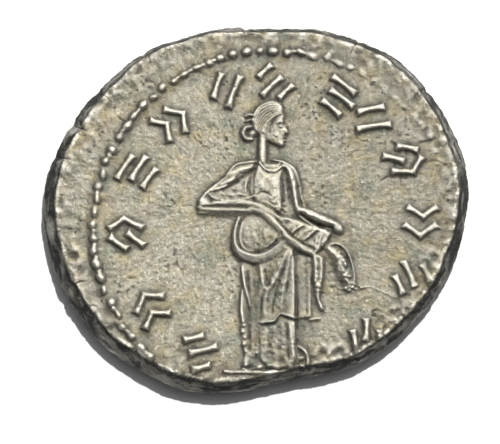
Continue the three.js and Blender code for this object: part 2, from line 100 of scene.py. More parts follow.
# The camera looks down on the lying coin from the side of the figure's feet.
CAMERA_ELEVATION = math.radians(80.0)
CAMERA_DISTANCE = 0.1145
CAMERA_TARGET = Vector((-0.00032, -0.00086, 0.0014))
camera_data = bpy.data.cameras.new("camera")
camera_data.lens = 150.0
camera_data.sensor_width = 36.0
camera_data.clip_start = 0.005
camera = bpy.data.objects.new("camera", camera_data)
camera.location = CAMERA_TARGET + CAMERA_DISTANCE * Vector(
    (0.0, -math.cos(CAMERA_ELEVATION), math.sin(CAMERA_ELEVATION))
)
camera.rotation_euler = aimed_at(camera.location, CAMERA_TARGET)
bpy.context.scene.collection.objects.link(camera)
bpy.context.scene.camera = camera
bpy.context.scene.view_settings.view_transform = "Standard"


# The coin: one blank of base silver, cast roughly round, hammered flat and struck between two
# dies. The blow pushed metal into the dies and outwards, which swelled and split the edge.
# Sizes are millimetres until the mesh is finished.
FLAN_LENGTH = 23.7
FLAN_WIDTH = 20.7
FLAN_TURN = 13.0
FLAN_THICKNESS = 1.1
EDGE_BULGE = 0.48
EDGE_LEAN = 0.16
EDGE_LEAN_TOWARDS = 245.0
END_SWELL = 0.11
RIM_RADIUS = 0.12
UNDER_FIELD = 0.3
TOP_FIELD = UNDER_FIELD + FLAN_THICKNESS
WORN_TOP = 0.297
RASTER = 0.04  # spacing at which the dies' surfaces are worked out
GRID = 400  # cells across each face of the mesh before it is thinned
EDGE_LEVELS = 17
UNDER_TRIANGLES = 52000  # what the hidden face may keep, with the lower part of the edge
MOST_TRIANGLES = 194000
chance = np.random.default_rng(271)

# Swellings and flats of the hammered outline: angle, width, depth outwards
SWELLINGS = [
    (8, 12, 0.1), (46, 20, 0.2), (86, 20, -0.32), (125, 16, 0.24), (194, 18, -0.25), (212, 18, -0.2),
    (250, 16, 0.12), (282, 25, -0.48),
]
# Splits of the rim: angle, width in degrees, depth, length inwards
SPLITS = [
    (34, 1.3, 0.5, 0.55), (58, 1.1, 0.5, 0.7), (93, 1.2, 0.4, 0.55), (126, 1.6, 0.5, 0.6),
    (144, 1.4, 0.4, 0.6), (156, 1.7, 0.5, 0.75), (166, 1.3, 0.45, 0.5), (205, 1.8, 0.5, 0.8),
    (334, 1.2, 0.35, 0.45),
]


def angle_between(degrees, other):
    return np.abs((degrees - other + 180) % 360 - 180)


def bulge_radius(degrees):
    t = np.radians(degrees - FLAN_TURN)
    a, b = FLAN_LENGTH / 2, FLAN_WIDTH / 2
    radius = a * b / np.hypot(b * np.cos(t), a * np.sin(t))
    for at, width, out in SWELLINGS:
        away = angle_between(degrees, at)
        radius = radius + out * np.where(away > width, 0, 0.5 + 0.5 * np.cos(np.pi * away / width))
    return radius


def rim_radius(degrees):
    lean = EDGE_LEAN * np.cos(np.radians(degrees - EDGE_LEAN_TOWARDS))
    ends = END_SWELL * np.cos(2 * np.radians(degrees - FLAN_TURN))
    return bulge_radius(degrees) - (EDGE_BULGE + lean + ends)


def rim_wander(degrees):
    """The small unevenness of the rim, which is closed round the coin."""
    a = np.radians(degrees)
    waves = ((13, 0.4, 0.022), (19, 2.1, 0.02), (31, 5.2, 0.018), (47, 3.3, 0.014), (74, 1.2, 0.01))
    return sum(size * np.cos(count * a + start) for count, start, size in waves)


box_angles = np.arange(0, 360, 5.0)
box_x = bulge_radius(box_angles) * np.cos(np.radians(box_angles))
box_y = bulge_radius(box_angles) * np.sin(np.radians(box_angles))
BOX_MIDDLE = ((box_x.max() + box_x.min()) / 2, (box_y.max() + box_y.min()) / 2)


def blurred(sheet, reach):
    """Softens a sheet of heights over about `reach` millimetres."""
    cells = max(1, int(round(reach / RASTER)))
    out = sheet
    for axis in (0, 1):
        for _ in range(3):
            padded = np.concatenate(
                [
                    np.repeat(out.take([0], axis), cells + 1, axis), out,
                    np.repeat(out.take([-1], axis), cells, axis),
                ],
                axis,
            )
            total = np.cumsum(padded, axis)
            n = out.shape[axis]
            high = total.take(range(2 * cells + 1, 2 * cells + 1 + n), axis)
            low = total.take(range(0, n), axis)
            out = (high - low) / (2 * cells + 1)
    return out


def smooth_line(points, closed=False, per_span=7):
    p = np.array(points, float)
    if len(p) == 2 and not closed:
        return np.linspace(p[0], p[1], 5)
    if closed:
        p = np.vstack([p[-1], p, p[0], p[1]])
    else:
        p = np.vstack([2 * p[0] - p[1], p, 2 * p[-1] - p[-2]])
    t = np.linspace(0, 1, per_span, endpoint=False)[:, None]
    spans = []
    for a, b, c, d in zip(p[:-3], p[1:-2], p[2:-1], p[3:]):
        spans.append(
            0.5 * (
                2 * b + (c - a) * t + (2 * a - 5 * b + 4 * c - d) * t**2
                + (3 * b - a - 3 * c + d) * t**3
            )
        )
    line = np.vstack(spans)
    return line if closed else np.vstack([line, p[-2]])


SECTIONS = {
    "round": lambda s: np.clip(1 - s**2, 0, 1) ** 0.62,
    "keen": lambda s: np.clip(1 - s, 0, 1) ** 1.15,
    "flat": lambda s: np.clip((1 - s) / 0.34, 0, 1),
    "bead": lambda s: np.clip(1 - s**3, 0, 1) ** 0.8,
    "soft": lambda s: np.clip(1 - s**2, 0, 1) ** 2,
}


class Die:
    """One die's picture, as a sheet of heights above the field."""

    def __init__(self, reach=12.6):
        self.axis = np.arange(-reach, reach + RASTER, RASTER)
        self.x, self.y = np.meshgrid(self.axis, self.axis)
        self.height = np.zeros_like(self.x)
        self.origin = (0.0, 0.0)

    def window(self, line, margin):
        low, high = line.min(0) - margin, line.max(0) + margin
        x0, x1 = np.searchsorted(self.axis, (low[0], high[0]))
        y0, y1 = np.searchsorted(self.axis, (low[1], high[1]))
        return slice(y0, y1), slice(x0, x1)

    def merge(self, area, form, how, soft):
        now = self.height[area]
        if how == "over":
            gap = np.clip(soft - np.abs(now - form), 0, None)
            blend = np.where(form > 0, gap**2 / (4 * soft), 0)
            self.height[area] = np.where(form > 0, np.maximum(now, form) + blend, now)
        elif how == "add":
            self.height[area] = now + form
        else:
            self.height[area] = now - form

    def stroke(
        self, points, widths, heights, section="round", how="over", soft=0.03, closed=False, lean=0.0,
    ):
        """A ridge or groove along a line. `lean` moves its crest to the right or left of the line."""
        line = smooth_line(points, closed) + self.origin
        if closed:
            line = np.vstack([line, line[0]])
        widths = np.atleast_1d(np.array(widths, float))
        heights = np.atleast_1d(np.array(heights, float))
        area = self.window(line, widths.max() + RASTER)
        x, y = self.x[area], self.y[area]
        if x.size == 0:
            return
        ends = np.linspace(0, 1, len(line))
        width_along = np.interp(ends, np.linspace(0, 1, len(widths)), widths)
        height_along = np.interp(ends, np.linspace(0, 1, len(heights)), heights)
        best = np.full(x.shape, 9.0)
        tall = np.zeros(x.shape)
        right = np.ones(x.shape)
        for i in range(len(line) - 1):
            (ax, ay), (bx, by) = line[i], line[i + 1]
            dx, dy = bx - ax, by - ay
            span = dx * dx + dy * dy + 1e-12
            t = np.clip(((x - ax) * dx + (y - ay) * dy) / span, 0, 1)
            away = np.hypot(x - ax - t * dx, y - ay - t * dy)
            share = away / (width_along[i] + t * (width_along[i + 1] - width_along[i]))
            nearer = share < best
            best = np.where(nearer, share, best)
            right = np.where(nearer, np.sign((x - ax) * dy - (y - ay) * dx), right)
            tall = np.where(nearer, height_along[i] + t * (height_along[i + 1] - height_along[i]), tall)
        if lean:
            side = np.clip(best, 0, 1) * right
            best = np.where(side > lean, (side - lean) / (1 - lean), (lean - side) / (1 + lean))
        self.merge(area, tall * SECTIONS[section](np.clip(best, 0, 1)), how, soft)

    def pad(self, points, height, edge=0.25, dome=0.0, how="over", soft=0.03, smooth=True):
        line = smooth_line(points, closed=True) if smooth else np.array(points, float)
        line = line + self.origin
        area = self.window(line, RASTER)
        x, y = self.x[area], self.y[area]
        if x.size == 0:
            return
        inside = np.zeros(x.shape, bool)
        away = np.full(x.shape, 9.0)
        for (ax, ay), (bx, by) in zip(line, np.roll(line, -1, 0)):
            dx, dy = bx - ax, by - ay
            t = np.clip(((x - ax) * dx + (y - ay) * dy) / (dx * dx + dy * dy + 1e-12), 0, 1)
            away = np.minimum(away, np.hypot(x - ax - t * dx, y - ay - t * dy))
            crosses = (ay > y) != (by > y)
            with np.errstate(divide="ignore", invalid="ignore"):
                inside ^= crosses & (x < (bx - ax) * (y - ay) / (by - ay) + ax)
        share = np.clip(away / edge, 0, 1)
        form = height * np.sqrt(np.clip(1 - (1 - share) ** 2, 0, 1)) + dome * (1 - np.exp(-away / 0.6))
        self.merge(area, np.where(inside, form, 0), how, soft)

    def oval(self, centre, half_width, half_height, turn, height, section="round", how="over", soft=0.03):
        cx, cy = centre[0] + self.origin[0], centre[1] + self.origin[1]
        reach = max(half_width, half_height)
        area = self.window(np.array([[cx, cy]]), reach)
        x, y = self.x[area] - cx, self.y[area] - cy
        if x.size == 0:
            return
        c, s = math.cos(math.radians(turn)), math.sin(math.radians(turn))
        share = np.hypot((x * c + y * s) / half_width, (-x * s + y * c) / half_height)
        self.merge(area, height * SECTIONS[section](np.clip(share, 0, 1)), how, soft)

    def roughen(self, centre, half_width, half_height, amount, cell, seed):
        """Makes an oval patch lumpy, as where the metal did not quite fill the die."""
        cx, cy = centre[0] + self.origin[0], centre[1] + self.origin[1]
        area = self.window(np.array([[cx, cy]]), max(half_width, half_height))
        x, y = self.x[area] - cx, self.y[area] - cy
        fade = np.clip(1.6 * (1 - np.hypot(x / half_width, y / half_height)), 0, 1)
        lumps = (
            0.65 * noise_sheet(x.shape, cell, seed)
            + 0.35 * noise_sheet(x.shape, 0.55 * cell, seed + 1)
        )
        self.height[area] += amount * lumps * fade * (self.height[area] > 0.03)


def noise_sheet(shape, cell, seed):
    """Smooth unevenness between -1 and 1 with a grain of `cell` raster steps."""
    draw = np.random.default_rng(seed)
    rows, cols = int(shape[0] / cell) + 4, int(shape[1] / cell) + 4
    knots = draw.uniform(-1, 1, (rows, cols))
    v = np.arange(shape[0]) / cell
    u = np.arange(shape[1]) / cell
    i, j = v.astype(int), u.astype(int)
    fv, fu = v - i, u - j
    fv, fu = (fv * fv * (3 - 2 * fv))[:, None], (fu * fu * (3 - 2 * fu))[None, :]
    a = knots[i][:, j] * (1 - fu) + knots[i][:, j + 1] * fu
    b = knots[i + 1][:, j] * (1 - fu) + knots[i + 1][:, j + 1] * fu
    return a * (1 - fv) + b * fv


# Rows of shallow strokes that run round each face: groups of slanting bars and hooks.
# Across and along are in shares of a stroke's length, and along points away from the die's middle.
STROKE_LENGTH = 1.95
STROKE_END = 0.27  # half width at a flared end
STROKE_WAIST = 0.17
STROKE_HEIGHT = 0.22
STROKE_GROUPS = {
    "slants": [[(-0.46, -0.1), (-0.06, 0.46)], [(-0.14, -0.48), (0.42, 0.22)]],
    "hooks": [
        [(-0.4, -0.34), (-0.12, 0.06), (-0.38, 0.44)],
        [(0.1, -0.46), (0.42, -0.04), (0.12, 0.4)],
    ],
    "comb": [
        [(-0.46, 0.16), (-0.16, 0.46)],
        [(-0.36, -0.38), (0.14, 0.12)],
        [(0.12, -0.46), (0.46, -0.12)],
    ],
    "hook_and_slants": [
        [(-0.42, 0.02), (-0.1, 0.44)],
        [(-0.34, -0.46), (0.0, -0.06)],
        [(0.16, -0.44), (0.44, 0.06), (0.18, 0.46)],
    ],
    "ladder": [
        [(-0.42, 0.44), (0.3, 0.3)],
        [(-0.3, 0.06), (0.42, -0.06)],
        [(-0.38, -0.32), (0.2, -0.46)],
    ],
}


def flared_bar(die, first, last, first_half, last_half, height):
    """One bar with straight ends, narrow in its middle, as a wedge-shaped punch leaves it."""
    run = last - first
    length = np.hypot(*run)
    run = run / length
    side = np.array((-run[1], run[0]))
    waist = min(STROKE_WAIST, first_half, last_half)
    upper, lower = [], []
    for t in np.linspace(0, 1, 9):
        end = first_half if t < 0.5 else last_half
        half = waist + (end - waist) * abs(2 * t - 1) ** 2.6
        bow = 0.05 * (1 - (2 * t - 1) ** 2)
        centre = first + run * (t * (length + 0.3) - 0.15) + side * bow
        upper.append(centre + side * half)
        lower.append(centre - side * half)
    outline = upper + lower[::-1]
    die.pad(outline, 0.94 * height, edge=0.13, dome=0.06 * height, soft=0.01, smooth=False)


def strokes_round(die, middle, radius, places):
    die.origin = (0.0, 0.0)
    for degrees, group in places:
        outward = np.array((math.cos(math.radians(degrees)), math.sin(math.radians(degrees))))
        across = np.array((outward[1], -outward[0]))
        height = STROKE_HEIGHT * (1 + chance.uniform(-0.12, 0.08))
        for bar in STROKE_GROUPS[group]:
            points = [
                middle + (radius + b * STROKE_LENGTH) * outward + a * STROKE_LENGTH * across
                for a, b in bar
            ]
            if len(points) == 3:
                flared_bar(die, points[0], points[1], STROKE_END, STROKE_WAIST, height)
                flared_bar(die, points[1], points[2], STROKE_WAIST, STROKE_END, height)
            else:
                flared_bar(die, points[0], points[1], STROKE_END, STROKE_END, height)


def bead_ring(die, middle, diameter, count, length, width, height, faint):
    die.origin = (0.0, 0.0)
    for i in range(count):
        degrees = 360 * i / count
        strength = faint(degrees)
        wander = chance.uniform(-1, 1, 7)
        for share, step in ((1.0, 0.0), (0.62, 0.5)):
            if step and wander[6] < 0.1:
                continue
            a = math.radians(degrees + 360 * step / count) + 0.006 * wander[3]
            radius = diameter / 2 + 0.1 * wander[0] * (1 - 2 * step)
            centre = (middle[0] + radius * math.cos(a), middle[1] + radius * math.sin(a))
            die.oval(
                centre,
                share * width / 2 * (1 + 0.28 * wander[1]),
                share * length / 2 * (1 + 0.26 * wander[2]),
                degrees + 26 * wander[4],
                share * height * strength * (1 + 0.2 * wander[5]),
                "bead", soft=0.012,
            )


# The reverse: a draped woman stands and tips out a horn of plenty that she holds across her body.
# She is drawn on a grid of one millimetre squares that stands on the middle of the ground line.
REVERSE_MIDDLE = np.array((1.05, -1.2))
REVERSE_RING = 19.8
REVERSE_STROKES_AT = 8.1
SWELLING_AT = 9.85
FIGURE_FOOT = (0.85, -9.2)


def figure_robe(die):
    # the skirt: a low sheet, the front over it with a long slope on its left, and the outer fold
    die.pad(
        [
            (-1.6, 5.9), (-1.56, 4.8), (-1.68, 3.8), (-1.68, 2.8), (-1.62, 1.9), (-1.45, 0.9),
            (-1.25, 0.25), (1.3, 0.2), (1.4, 1.4), (1.4, 3.0), (1.38, 6.3), (0.6, 6.9), (-1.0, 6.3),
        ],
        0.08, edge=0.14, dome=0.01,
    )
    die.stroke(
        [(-1.24, 5.4), (-1.2, 3.6), (-1.15, 1.2)], (0.12, 0.2, 0.16), (0.06, 0.09, 0.07), "soft",
        "cut",
    )
    die.pad(
        [
            (-1.12, 6.0), (-1.18, 4.6), (-1.12, 3.2), (-1.1, 1.2), (-0.9, 0.4), (0.2, 0.3),
            (1.25, 0.3), (1.38, 1.6), (1.38, 6.2), (0.5, 6.7), (-0.4, 6.2),
        ],
        0.02, edge=0.2, dome=0.02,
    )
    die.stroke(
        [(-0.35, 6.1), (-0.42, 4.4), (-0.5, 2.6), (-0.5, 0.6)], (0.8, 0.86, 0.7, 0.66),
        (0.2, 0.21, 0.17, 0.13), "keen", soft=0.02,
    )
    die.pad(
        [(-0.42, 6.2), (-0.45, 3.0), (-0.5, 0.5), (1.3, 0.4), (1.38, 3.0), (1.38, 6.2)], 0.165,
        edge=0.1, dome=0.02, soft=0.05,
    )
    die.stroke(
        [(-1.54, 5.7), (-1.44, 4.9), (-1.24, 4.1), (-1.12, 3.5)], (0.08, 0.12, 0.11, 0.05),
        (0.17, 0.22, 0.21, 0.14), "round",
    )
    die.stroke(
        [(-1.54, 4.4), (-1.55, 3.3), (-1.47, 2.7)], (0.06, 0.15, 0.14), (0.14, 0.21, 0.2), "round",
        lean=0.3,
    )
    for u, v, half in (
        (-1.45, 2.45, 0.13), (-1.5, 2.12, 0.15), (-1.4, 1.78, 0.12), (-1.44, 1.44, 0.15),
        (-1.34, 1.05, 0.12), (-0.76, 0.95, 0.14),
    ):
        die.oval((u, v), half, 0.8 * half, 20, 0.2)
    # the flat panel of cloth beside the skirt, and the end that hangs from the horn
    die.pad([(1.42, 6.4), (2.2, 6.25), (2.23, 2.9), (1.46, 2.8)], 0.1, edge=0.14, smooth=False)
    die.stroke([(2.18, 6.2), (2.2, 4.6), (2.2, 3.0)], 0.08, 0.04, "round", "add")
    die.stroke([(1.95, 6.1), (1.98, 4.6), (2.0, 3.1)], 0.12, 0.04, "soft", "cut")
    die.pad(
        [
            (2.28, 6.4), (2.9, 6.25), (2.93, 5.2), (2.82, 4.5), (2.72, 3.95), (2.95, 3.35),
            (2.72, 3.3), (2.46, 3.9), (2.3, 5.0),
        ],
        0.17, edge=0.2, dome=0.02,
    )
    die.stroke([(2.44, 6.3), (2.5, 5.6), (2.46, 4.9)], 0.1, 0.07, "round", "add")
    die.stroke([(2.62, 6.2), (2.66, 5.4), (2.62, 4.9)], 0.05, 0.07, "soft", "cut")
    die.stroke([(2.8, 6.2), (2.8, 5.4), (2.74, 4.9)], 0.08, 0.06, "round", "add")
    for u, v in ((2.52, 4.72), (2.7, 4.62), (2.6, 4.32)):
        die.oval((u, v), 0.13, 0.09, 20, 0.07, "round", "add")
    die.stroke([(2.4, 4.56), (2.6, 4.48), (2.82, 4.5)], 0.05, 0.08, "soft", "cut")
    die.stroke([(2.6, 4.2), (2.68, 3.8), (2.86, 3.42)], 0.08, 0.05, "round", "add")
    die.stroke([(2.15, 2.78), (2.45, 2.86), (2.72, 2.84)], (0.06, 0.09, 0.06), 0.12, "round")
    # the overfold: folds that meet in a point below the hips, and its hem
    die.pad(
        [
            (0.1, 6.7), (1.0, 6.9), (1.32, 6.3), (1.34, 3.0), (0.5, 3.05), (0.2, 2.75), (-0.45, 2.7),
            (-0.3, 3.4), (-0.1, 4.3),
        ],
        0.21, edge=0.14, dome=0.02,
    )
    for points, half, tall in (
        ([(-0.58, 5.9), (-0.5, 5.3), (-0.42, 4.85), (-0.26, 4.46)], 0.11, 0.1),
        ([(0.9, 6.5), (0.46, 5.5), (0.08, 4.7), (-0.2, 4.3), (-0.34, 3.1)], 0.13, 0.09),
        ([(0.62, 6.3), (0.3, 5.5), (-0.05, 4.6)], 0.07, 0.05),
        ([(1.06, 6.3), (0.84, 5.1), (0.66, 4.2), (0.6, 3.4)], 0.08, 0.06),
        ([(1.26, 5.4), (1.27, 4.2), (1.28, 3.1)], 0.07, 0.07),
    ):
        die.stroke(points, half, (0.6 * tall, tall, 0.7 * tall), "keen", "add")
    for points, half, deep in (
        ([(-0.3, 5.5), (-0.22, 5.1), (-0.1, 4.8)], 0.08, 0.1),
        ([(1.2, 6.3), (1.02, 5.2), (0.86, 4.2)], 0.06, 0.08),
        ([(0.66, 5.5), (0.4, 4.6), (0.2, 3.8), (0.12, 3.2)], 0.08, 0.07),
        ([(0.86, 6.0), (0.62, 5.2), (0.4, 4.5)], 0.04, 0.06),
        ([(-0.4, 4.4), (-0.5, 3.6), (-0.58, 2.8)], 0.09, 0.08),
    ):
        die.stroke(points, half, (0.6 * deep, deep, 0.6 * deep), "soft", "cut")
    die.stroke(
        [(1.41, 6.4), (1.42, 4.6), (1.41, 3.0), (1.4, 0.9)], (0.05, 0.07, 0.06, 0.05),
        (0.12, 0.15, 0.13, 0.06), "soft", "cut",
    )
    hem = [
        (-0.52, 2.62), (-0.2, 2.66), (0.2, 2.72), (0.42, 2.98), (0.58, 3.12), (0.95, 3.0),
        (1.34, 2.88),
    ]
    die.stroke(hem, 0.08, 0.27, "round", soft=0.02)
    die.stroke([(u, v - 0.15) for u, v in hem], 0.09, 0.11, "soft", "cut")
    # the robe below the overfold is worn and lumpy, with one clear fold at its right
    for u, top, tall in ((-0.3, 2.3, 0.03), (0.22, 2.4, 0.03), (0.66, 2.6, 0.035)):
        die.stroke(
            [(u, top), (u + 0.05, 1.5), (u + 0.1, 0.5)], (0.1, 0.16, 0.17), (tall, tall, 0.6 * tall),
            "round", "add",
        )
    die.stroke(
        [(1.06, 2.5), (1.14, 1.9), (1.22, 1.2), (1.24, 0.5)], (0.08, 0.13, 0.13, 0.1),
        (0.05, 0.1, 0.09, 0.05), "keen", "add",
    )
    die.stroke([(0.9, 2.5), (0.94, 1.6), (1.0, 0.6)], 0.09, 0.06, "soft", "cut")
    die.roughen((0.3, 4.6), 1.1, 1.9, 0.05, 3.2, 301)
    die.roughen((0.1, 1.5), 1.5, 1.3, 0.045, 2.8, 303)
    die.roughen((0.1, 1.5), 1.6, 1.3, 0.04, 8.0, 323)
    die.roughen((2.6, 5.0), 0.5, 1.8, 0.06, 3.4, 305)
    die.roughen((1.8, 4.6), 0.5, 2.0, 0.02, 3.0, 307)


def figure_feet(die):
    for u, v, half in (
        (-1.35, 0.3, 0.2), (-0.6, 0.2, 0.24), (-0.08, 0.28, 0.2), (0.4, 0.18, 0.16),
        (1.07, 0.26, 0.22),
    ):
        die.oval((u, v), half, 0.6 * half, 12, 0.21)
    die.stroke([(-1.5, 0.12), (-1.2, 0.02), (-0.9, 0.14)], 0.06, 0.12, "round")
    die.stroke(
        [(1.5, 1.35), (1.86, 1.1), (2.04, 0.6), (1.94, 0.24), (1.62, 0.26)], (0.1, 0.14, 0.12, 0.09),
        (0.12, 0.19, 0.17, 0.12), "round",
    )
    die.oval((1.7, 0.68), 0.14, 0.12, 0, 0.2)
    die.stroke([(1.42, 1.2), (1.52, 0.8), (1.5, 0.45)], 0.07, 0.12, "round")
    die.roughen((1.75, 0.75), 0.6, 0.8, 0.06, 3.2, 309)
    ground = [(-2.48, -0.02), (-2.2, -0.06), (-1.9, -0.06), (0.0, -0.08), (0.9, -0.04), (1.6, 0.0)]
    die.stroke(ground, (0.12, 0.12, 0.08, 0.08, 0.08, 0.05), (0.17, 0.16, 0.12, 0.13, 0.1, 0.05), "flat")


def figure_hips(die):
    die.pad(
        [
            (-1.45, 8.4), (-0.6, 8.65), (0.3, 8.4), (0.95, 7.6), (1.2, 6.95), (0.3, 6.5),
            (-0.6, 6.4), (-1.4, 6.75), (-1.66, 7.5),
        ],
        0.13, edge=0.4, dome=0.05,
    )
    # a thin inner fold, then the heavy roll of cloth that hangs in a loop
    die.stroke(
        [(-1.5, 8.2), (-1.66, 7.6), (-1.6, 7.0), (-1.34, 6.66), (-0.9, 6.54)],
        (0.08, 0.11, 0.12, 0.1, 0.07), (0.16, 0.2, 0.2, 0.2, 0.16), "round",
    )
    roll = [
        (-1.74, 8.4), (-1.93, 7.8), (-1.98, 7.2), (-1.84, 6.62), (-1.36, 6.24), (-0.6, 6.12),
        (0.1, 6.42), (0.74, 6.98),
    ]
    die.stroke(
        roll, (0.1, 0.13, 0.17, 0.25, 0.33, 0.36, 0.32, 0.24),
        (0.2, 0.24, 0.26, 0.27, 0.27, 0.27, 0.26, 0.22), "round", soft=0.01, lean=-0.55,
    )
    die.stroke([(-1.72, 8.2), (-1.82, 7.6), (-1.82, 7.05), (-1.6, 6.66)], 0.045, 0.13, "soft", "cut")
    edge = [(-1.9, 7.9), (-1.92, 7.2), (-1.76, 6.7), (-1.3, 6.42), (-0.6, 6.34), (0.05, 6.62), (0.6, 7.1)]
    die.stroke(edge, 0.07, (0.03, 0.05, 0.06, 0.06, 0.06, 0.05), "keen", "add")
    die.stroke([(-1.2, 6.54), (-0.6, 6.5), (0.0, 6.8), (0.45, 7.22)], 0.05, 0.09, "soft", "cut")
    for points in ([(0.06, 6.96), (0.3, 7.3), (0.36, 7.56)], [(0.4, 7.16), (0.56, 7.4), (0.6, 7.6)]):
        die.stroke(points, (0.05, 0.08, 0.05), 0.08, "keen", "add")
    die.stroke(
        [(-1.95, 6.5), (-1.45, 5.98), (-0.66, 5.84), (0.1, 6.12), (0.8, 6.68)], 0.05, 0.06, "soft",
        "cut",
    )
    for u, v, tall in ((-1.0, 7.7, 0.03), (-0.35, 7.5, 0.02)):
        die.stroke(
            [(u, v + 0.4), (u + 0.12, v - 0.2), (u + 0.4, v - 0.7)], (0.06, 0.12, 0.06), tall,
            "round", "add",
        )
    die.roughen((-0.4, 7.3), 1.5, 1.2, 0.035, 3.4, 311)


def figure_trunk(die):
    # the wide sleeve over the raised arm, its seam along the shoulder, and its folds
    die.pad(
        [
            (-0.85, 11.62), (-1.5, 11.54), (-1.95, 11.38), (-2.25, 11.1), (-2.5, 10.78),
            (-2.85, 10.5), (-3.4, 10.05), (-3.8, 9.55), (-4.0, 9.2), (-3.9, 8.86), (-2.2, 8.9),
            (-1.0, 9.1), (-0.9, 10.4),
        ],
        0.15, edge=0.16, dome=0.03,
    )
    die.pad(
        [
            (-2.2, 11.08), (-1.6, 11.36), (-0.98, 11.34), (-1.02, 11.1), (-1.5, 10.88),
            (-1.95, 10.62), (-2.35, 10.72),
        ],
        0.25, edge=0.26,
    )
    die.stroke(
        [(-0.8, 11.58), (-1.5, 11.5), (-1.92, 11.36), (-2.2, 11.08), (-2.44, 10.76)],
        (0.08, 0.08, 0.09, 0.08, 0.06), (0.22, 0.26, 0.26, 0.25, 0.22), "round", soft=0.01,
    )
    die.stroke([(-1.0, 11.44), (-1.5, 11.38), (-1.84, 11.26), (-2.08, 11.02)], 0.035, 0.07, "soft", "cut")
    die.stroke(
        [(-2.55, 10.62), (-3.15, 10.14), (-3.58, 9.74), (-3.88, 9.34)], (0.06, 0.1, 0.11, 0.12),
        (0.2, 0.23, 0.24, 0.23), "round", soft=0.01,
    )
    for points, half, deep in (
        ([(-0.88, 11.16), (-1.25, 10.86), (-1.94, 10.36), (-2.6, 9.92)], (0.1, 0.16, 0.1, 0.06), 0.17),
        ([(-1.0, 11.0), (-1.12, 10.6), (-1.2, 10.0), (-1.1, 9.7)], 0.13, 0.13),
        ([(-1.3, 10.7), (-1.5, 10.3), (-1.5, 9.9)], 0.1, 0.06),
        ([(-2.4, 9.88), (-1.9, 9.92), (-1.4, 9.8)], 0.05, 0.06),
        ([(-3.5, 9.62), (-3.3, 9.36), (-3.3, 9.1)], 0.09, 0.08),
    ):
        die.stroke(points, half, (0.5 * deep, deep, 0.6 * deep), "soft", "cut")
    for points, half, tall in (
        ([(-2.72, 10.28), (-2.3, 10.46), (-1.98, 10.6)], 0.15, 0.12),
        ([(-3.2, 9.94), (-2.8, 10.06), (-2.4, 10.2)], 0.12, 0.1),
        ([(-2.3, 9.66), (-1.8, 9.74), (-1.36, 9.66)], 0.1, 0.05),
        ([(-1.72, 10.5), (-1.42, 10.72), (-1.2, 11.0)], 0.07, 0.06),
        ([(-1.3, 10.5), (-1.34, 10.1), (-1.3, 9.8)], 0.06, 0.06),
    ):
        die.stroke(points, (0.5 * half, half, 0.6 * half), tall, "round", "add")
    die.roughen((-2.1, 10.0), 1.9, 1.3, 0.045, 3.4, 313)
    # the chest, closely covered, with small folds gathered at the waist
    die.pad([(0.55, 11.0), (1.25, 11.0), (1.3, 9.4), (1.4, 8.6), (0.5, 8.6)], 0.08, edge=0.2)
    die.pad(
        [
            (-0.62, 11.46), (-0.84, 11.1), (-0.98, 10.4), (-0.94, 9.7), (-0.8, 9.3), (0.0, 8.9),
            (0.6, 8.75), (0.66, 9.4), (0.62, 10.4), (0.76, 11.3), (0.3, 11.5),
        ],
        0.21, edge=0.2, dome=0.05,
    )
    die.oval((-0.46, 10.3), 0.4, 0.44, 0, 0.045, "soft", "add")
    die.oval((0.22, 10.35), 0.34, 0.4, 0, 0.045, "soft", "add")
    die.stroke([(0.68, 10.6), (0.74, 10.0), (0.7, 9.3)], (0.05, 0.07, 0.06), 0.14, "soft", "cut")
    die.stroke([(0.55, 10.5), (0.58, 9.9), (0.56, 9.35)], 0.05, 0.05, "keen", "add")
    die.stroke([(0.86, 10.5), (0.95, 9.9), (1.08, 9.2)], 0.1, 0.06, "soft", "cut")
    collar = [(-0.6, 11.5), (-0.24, 11.1), (0.33, 11.06), (0.76, 11.38)]
    die.stroke(collar, 0.085, 0.29, "round", soft=0.01)
    die.stroke([(u, v - 0.14) for u, v in collar], 0.045, 0.07, "soft", "cut")
    die.stroke([(u * 0.8 + 0.02, v + 0.22) for u, v in collar], 0.055, 0.24, "round", soft=0.01)
    die.stroke([(u * 0.9, v + 0.12) for u, v in collar], 0.035, 0.06, "soft", "cut")
    for points, half, deep in (
        ([(-0.74, 9.7), (-0.45, 9.85), (-0.1, 9.74), (0.12, 9.58)], 0.06, 0.1),
        ([(-0.1, 9.32), (0.25, 9.14), (0.52, 9.2)], 0.05, 0.09),
        ([(-0.62, 9.4), (-0.3, 9.42), (0.0, 9.3)], 0.04, 0.05),
        ([(0.3, 8.98), (0.6, 8.86), (0.85, 8.72)], 0.05, 0.08),
    ):
        die.stroke(points, half, (0.5 * deep, deep, 0.6 * deep), "soft", "cut")
        die.stroke([(u + 0.02, v - 0.12) for u, v in points], half, 0.5 * deep, "keen", "add")
    die.stroke([(0.42, 9.24), (0.6, 9.02), (0.5, 8.9)], 0.05, 0.07, "keen", "add")
    die.stroke([(0.76, 8.94), (0.98, 8.74), (0.84, 8.6)], 0.05, 0.07, "keen", "add")
    die.roughen((0.1, 9.3), 1.1, 0.9, 0.05, 3.0, 315)
    die.roughen((-0.1, 10.5), 0.9, 0.9, 0.025, 3.4, 317)


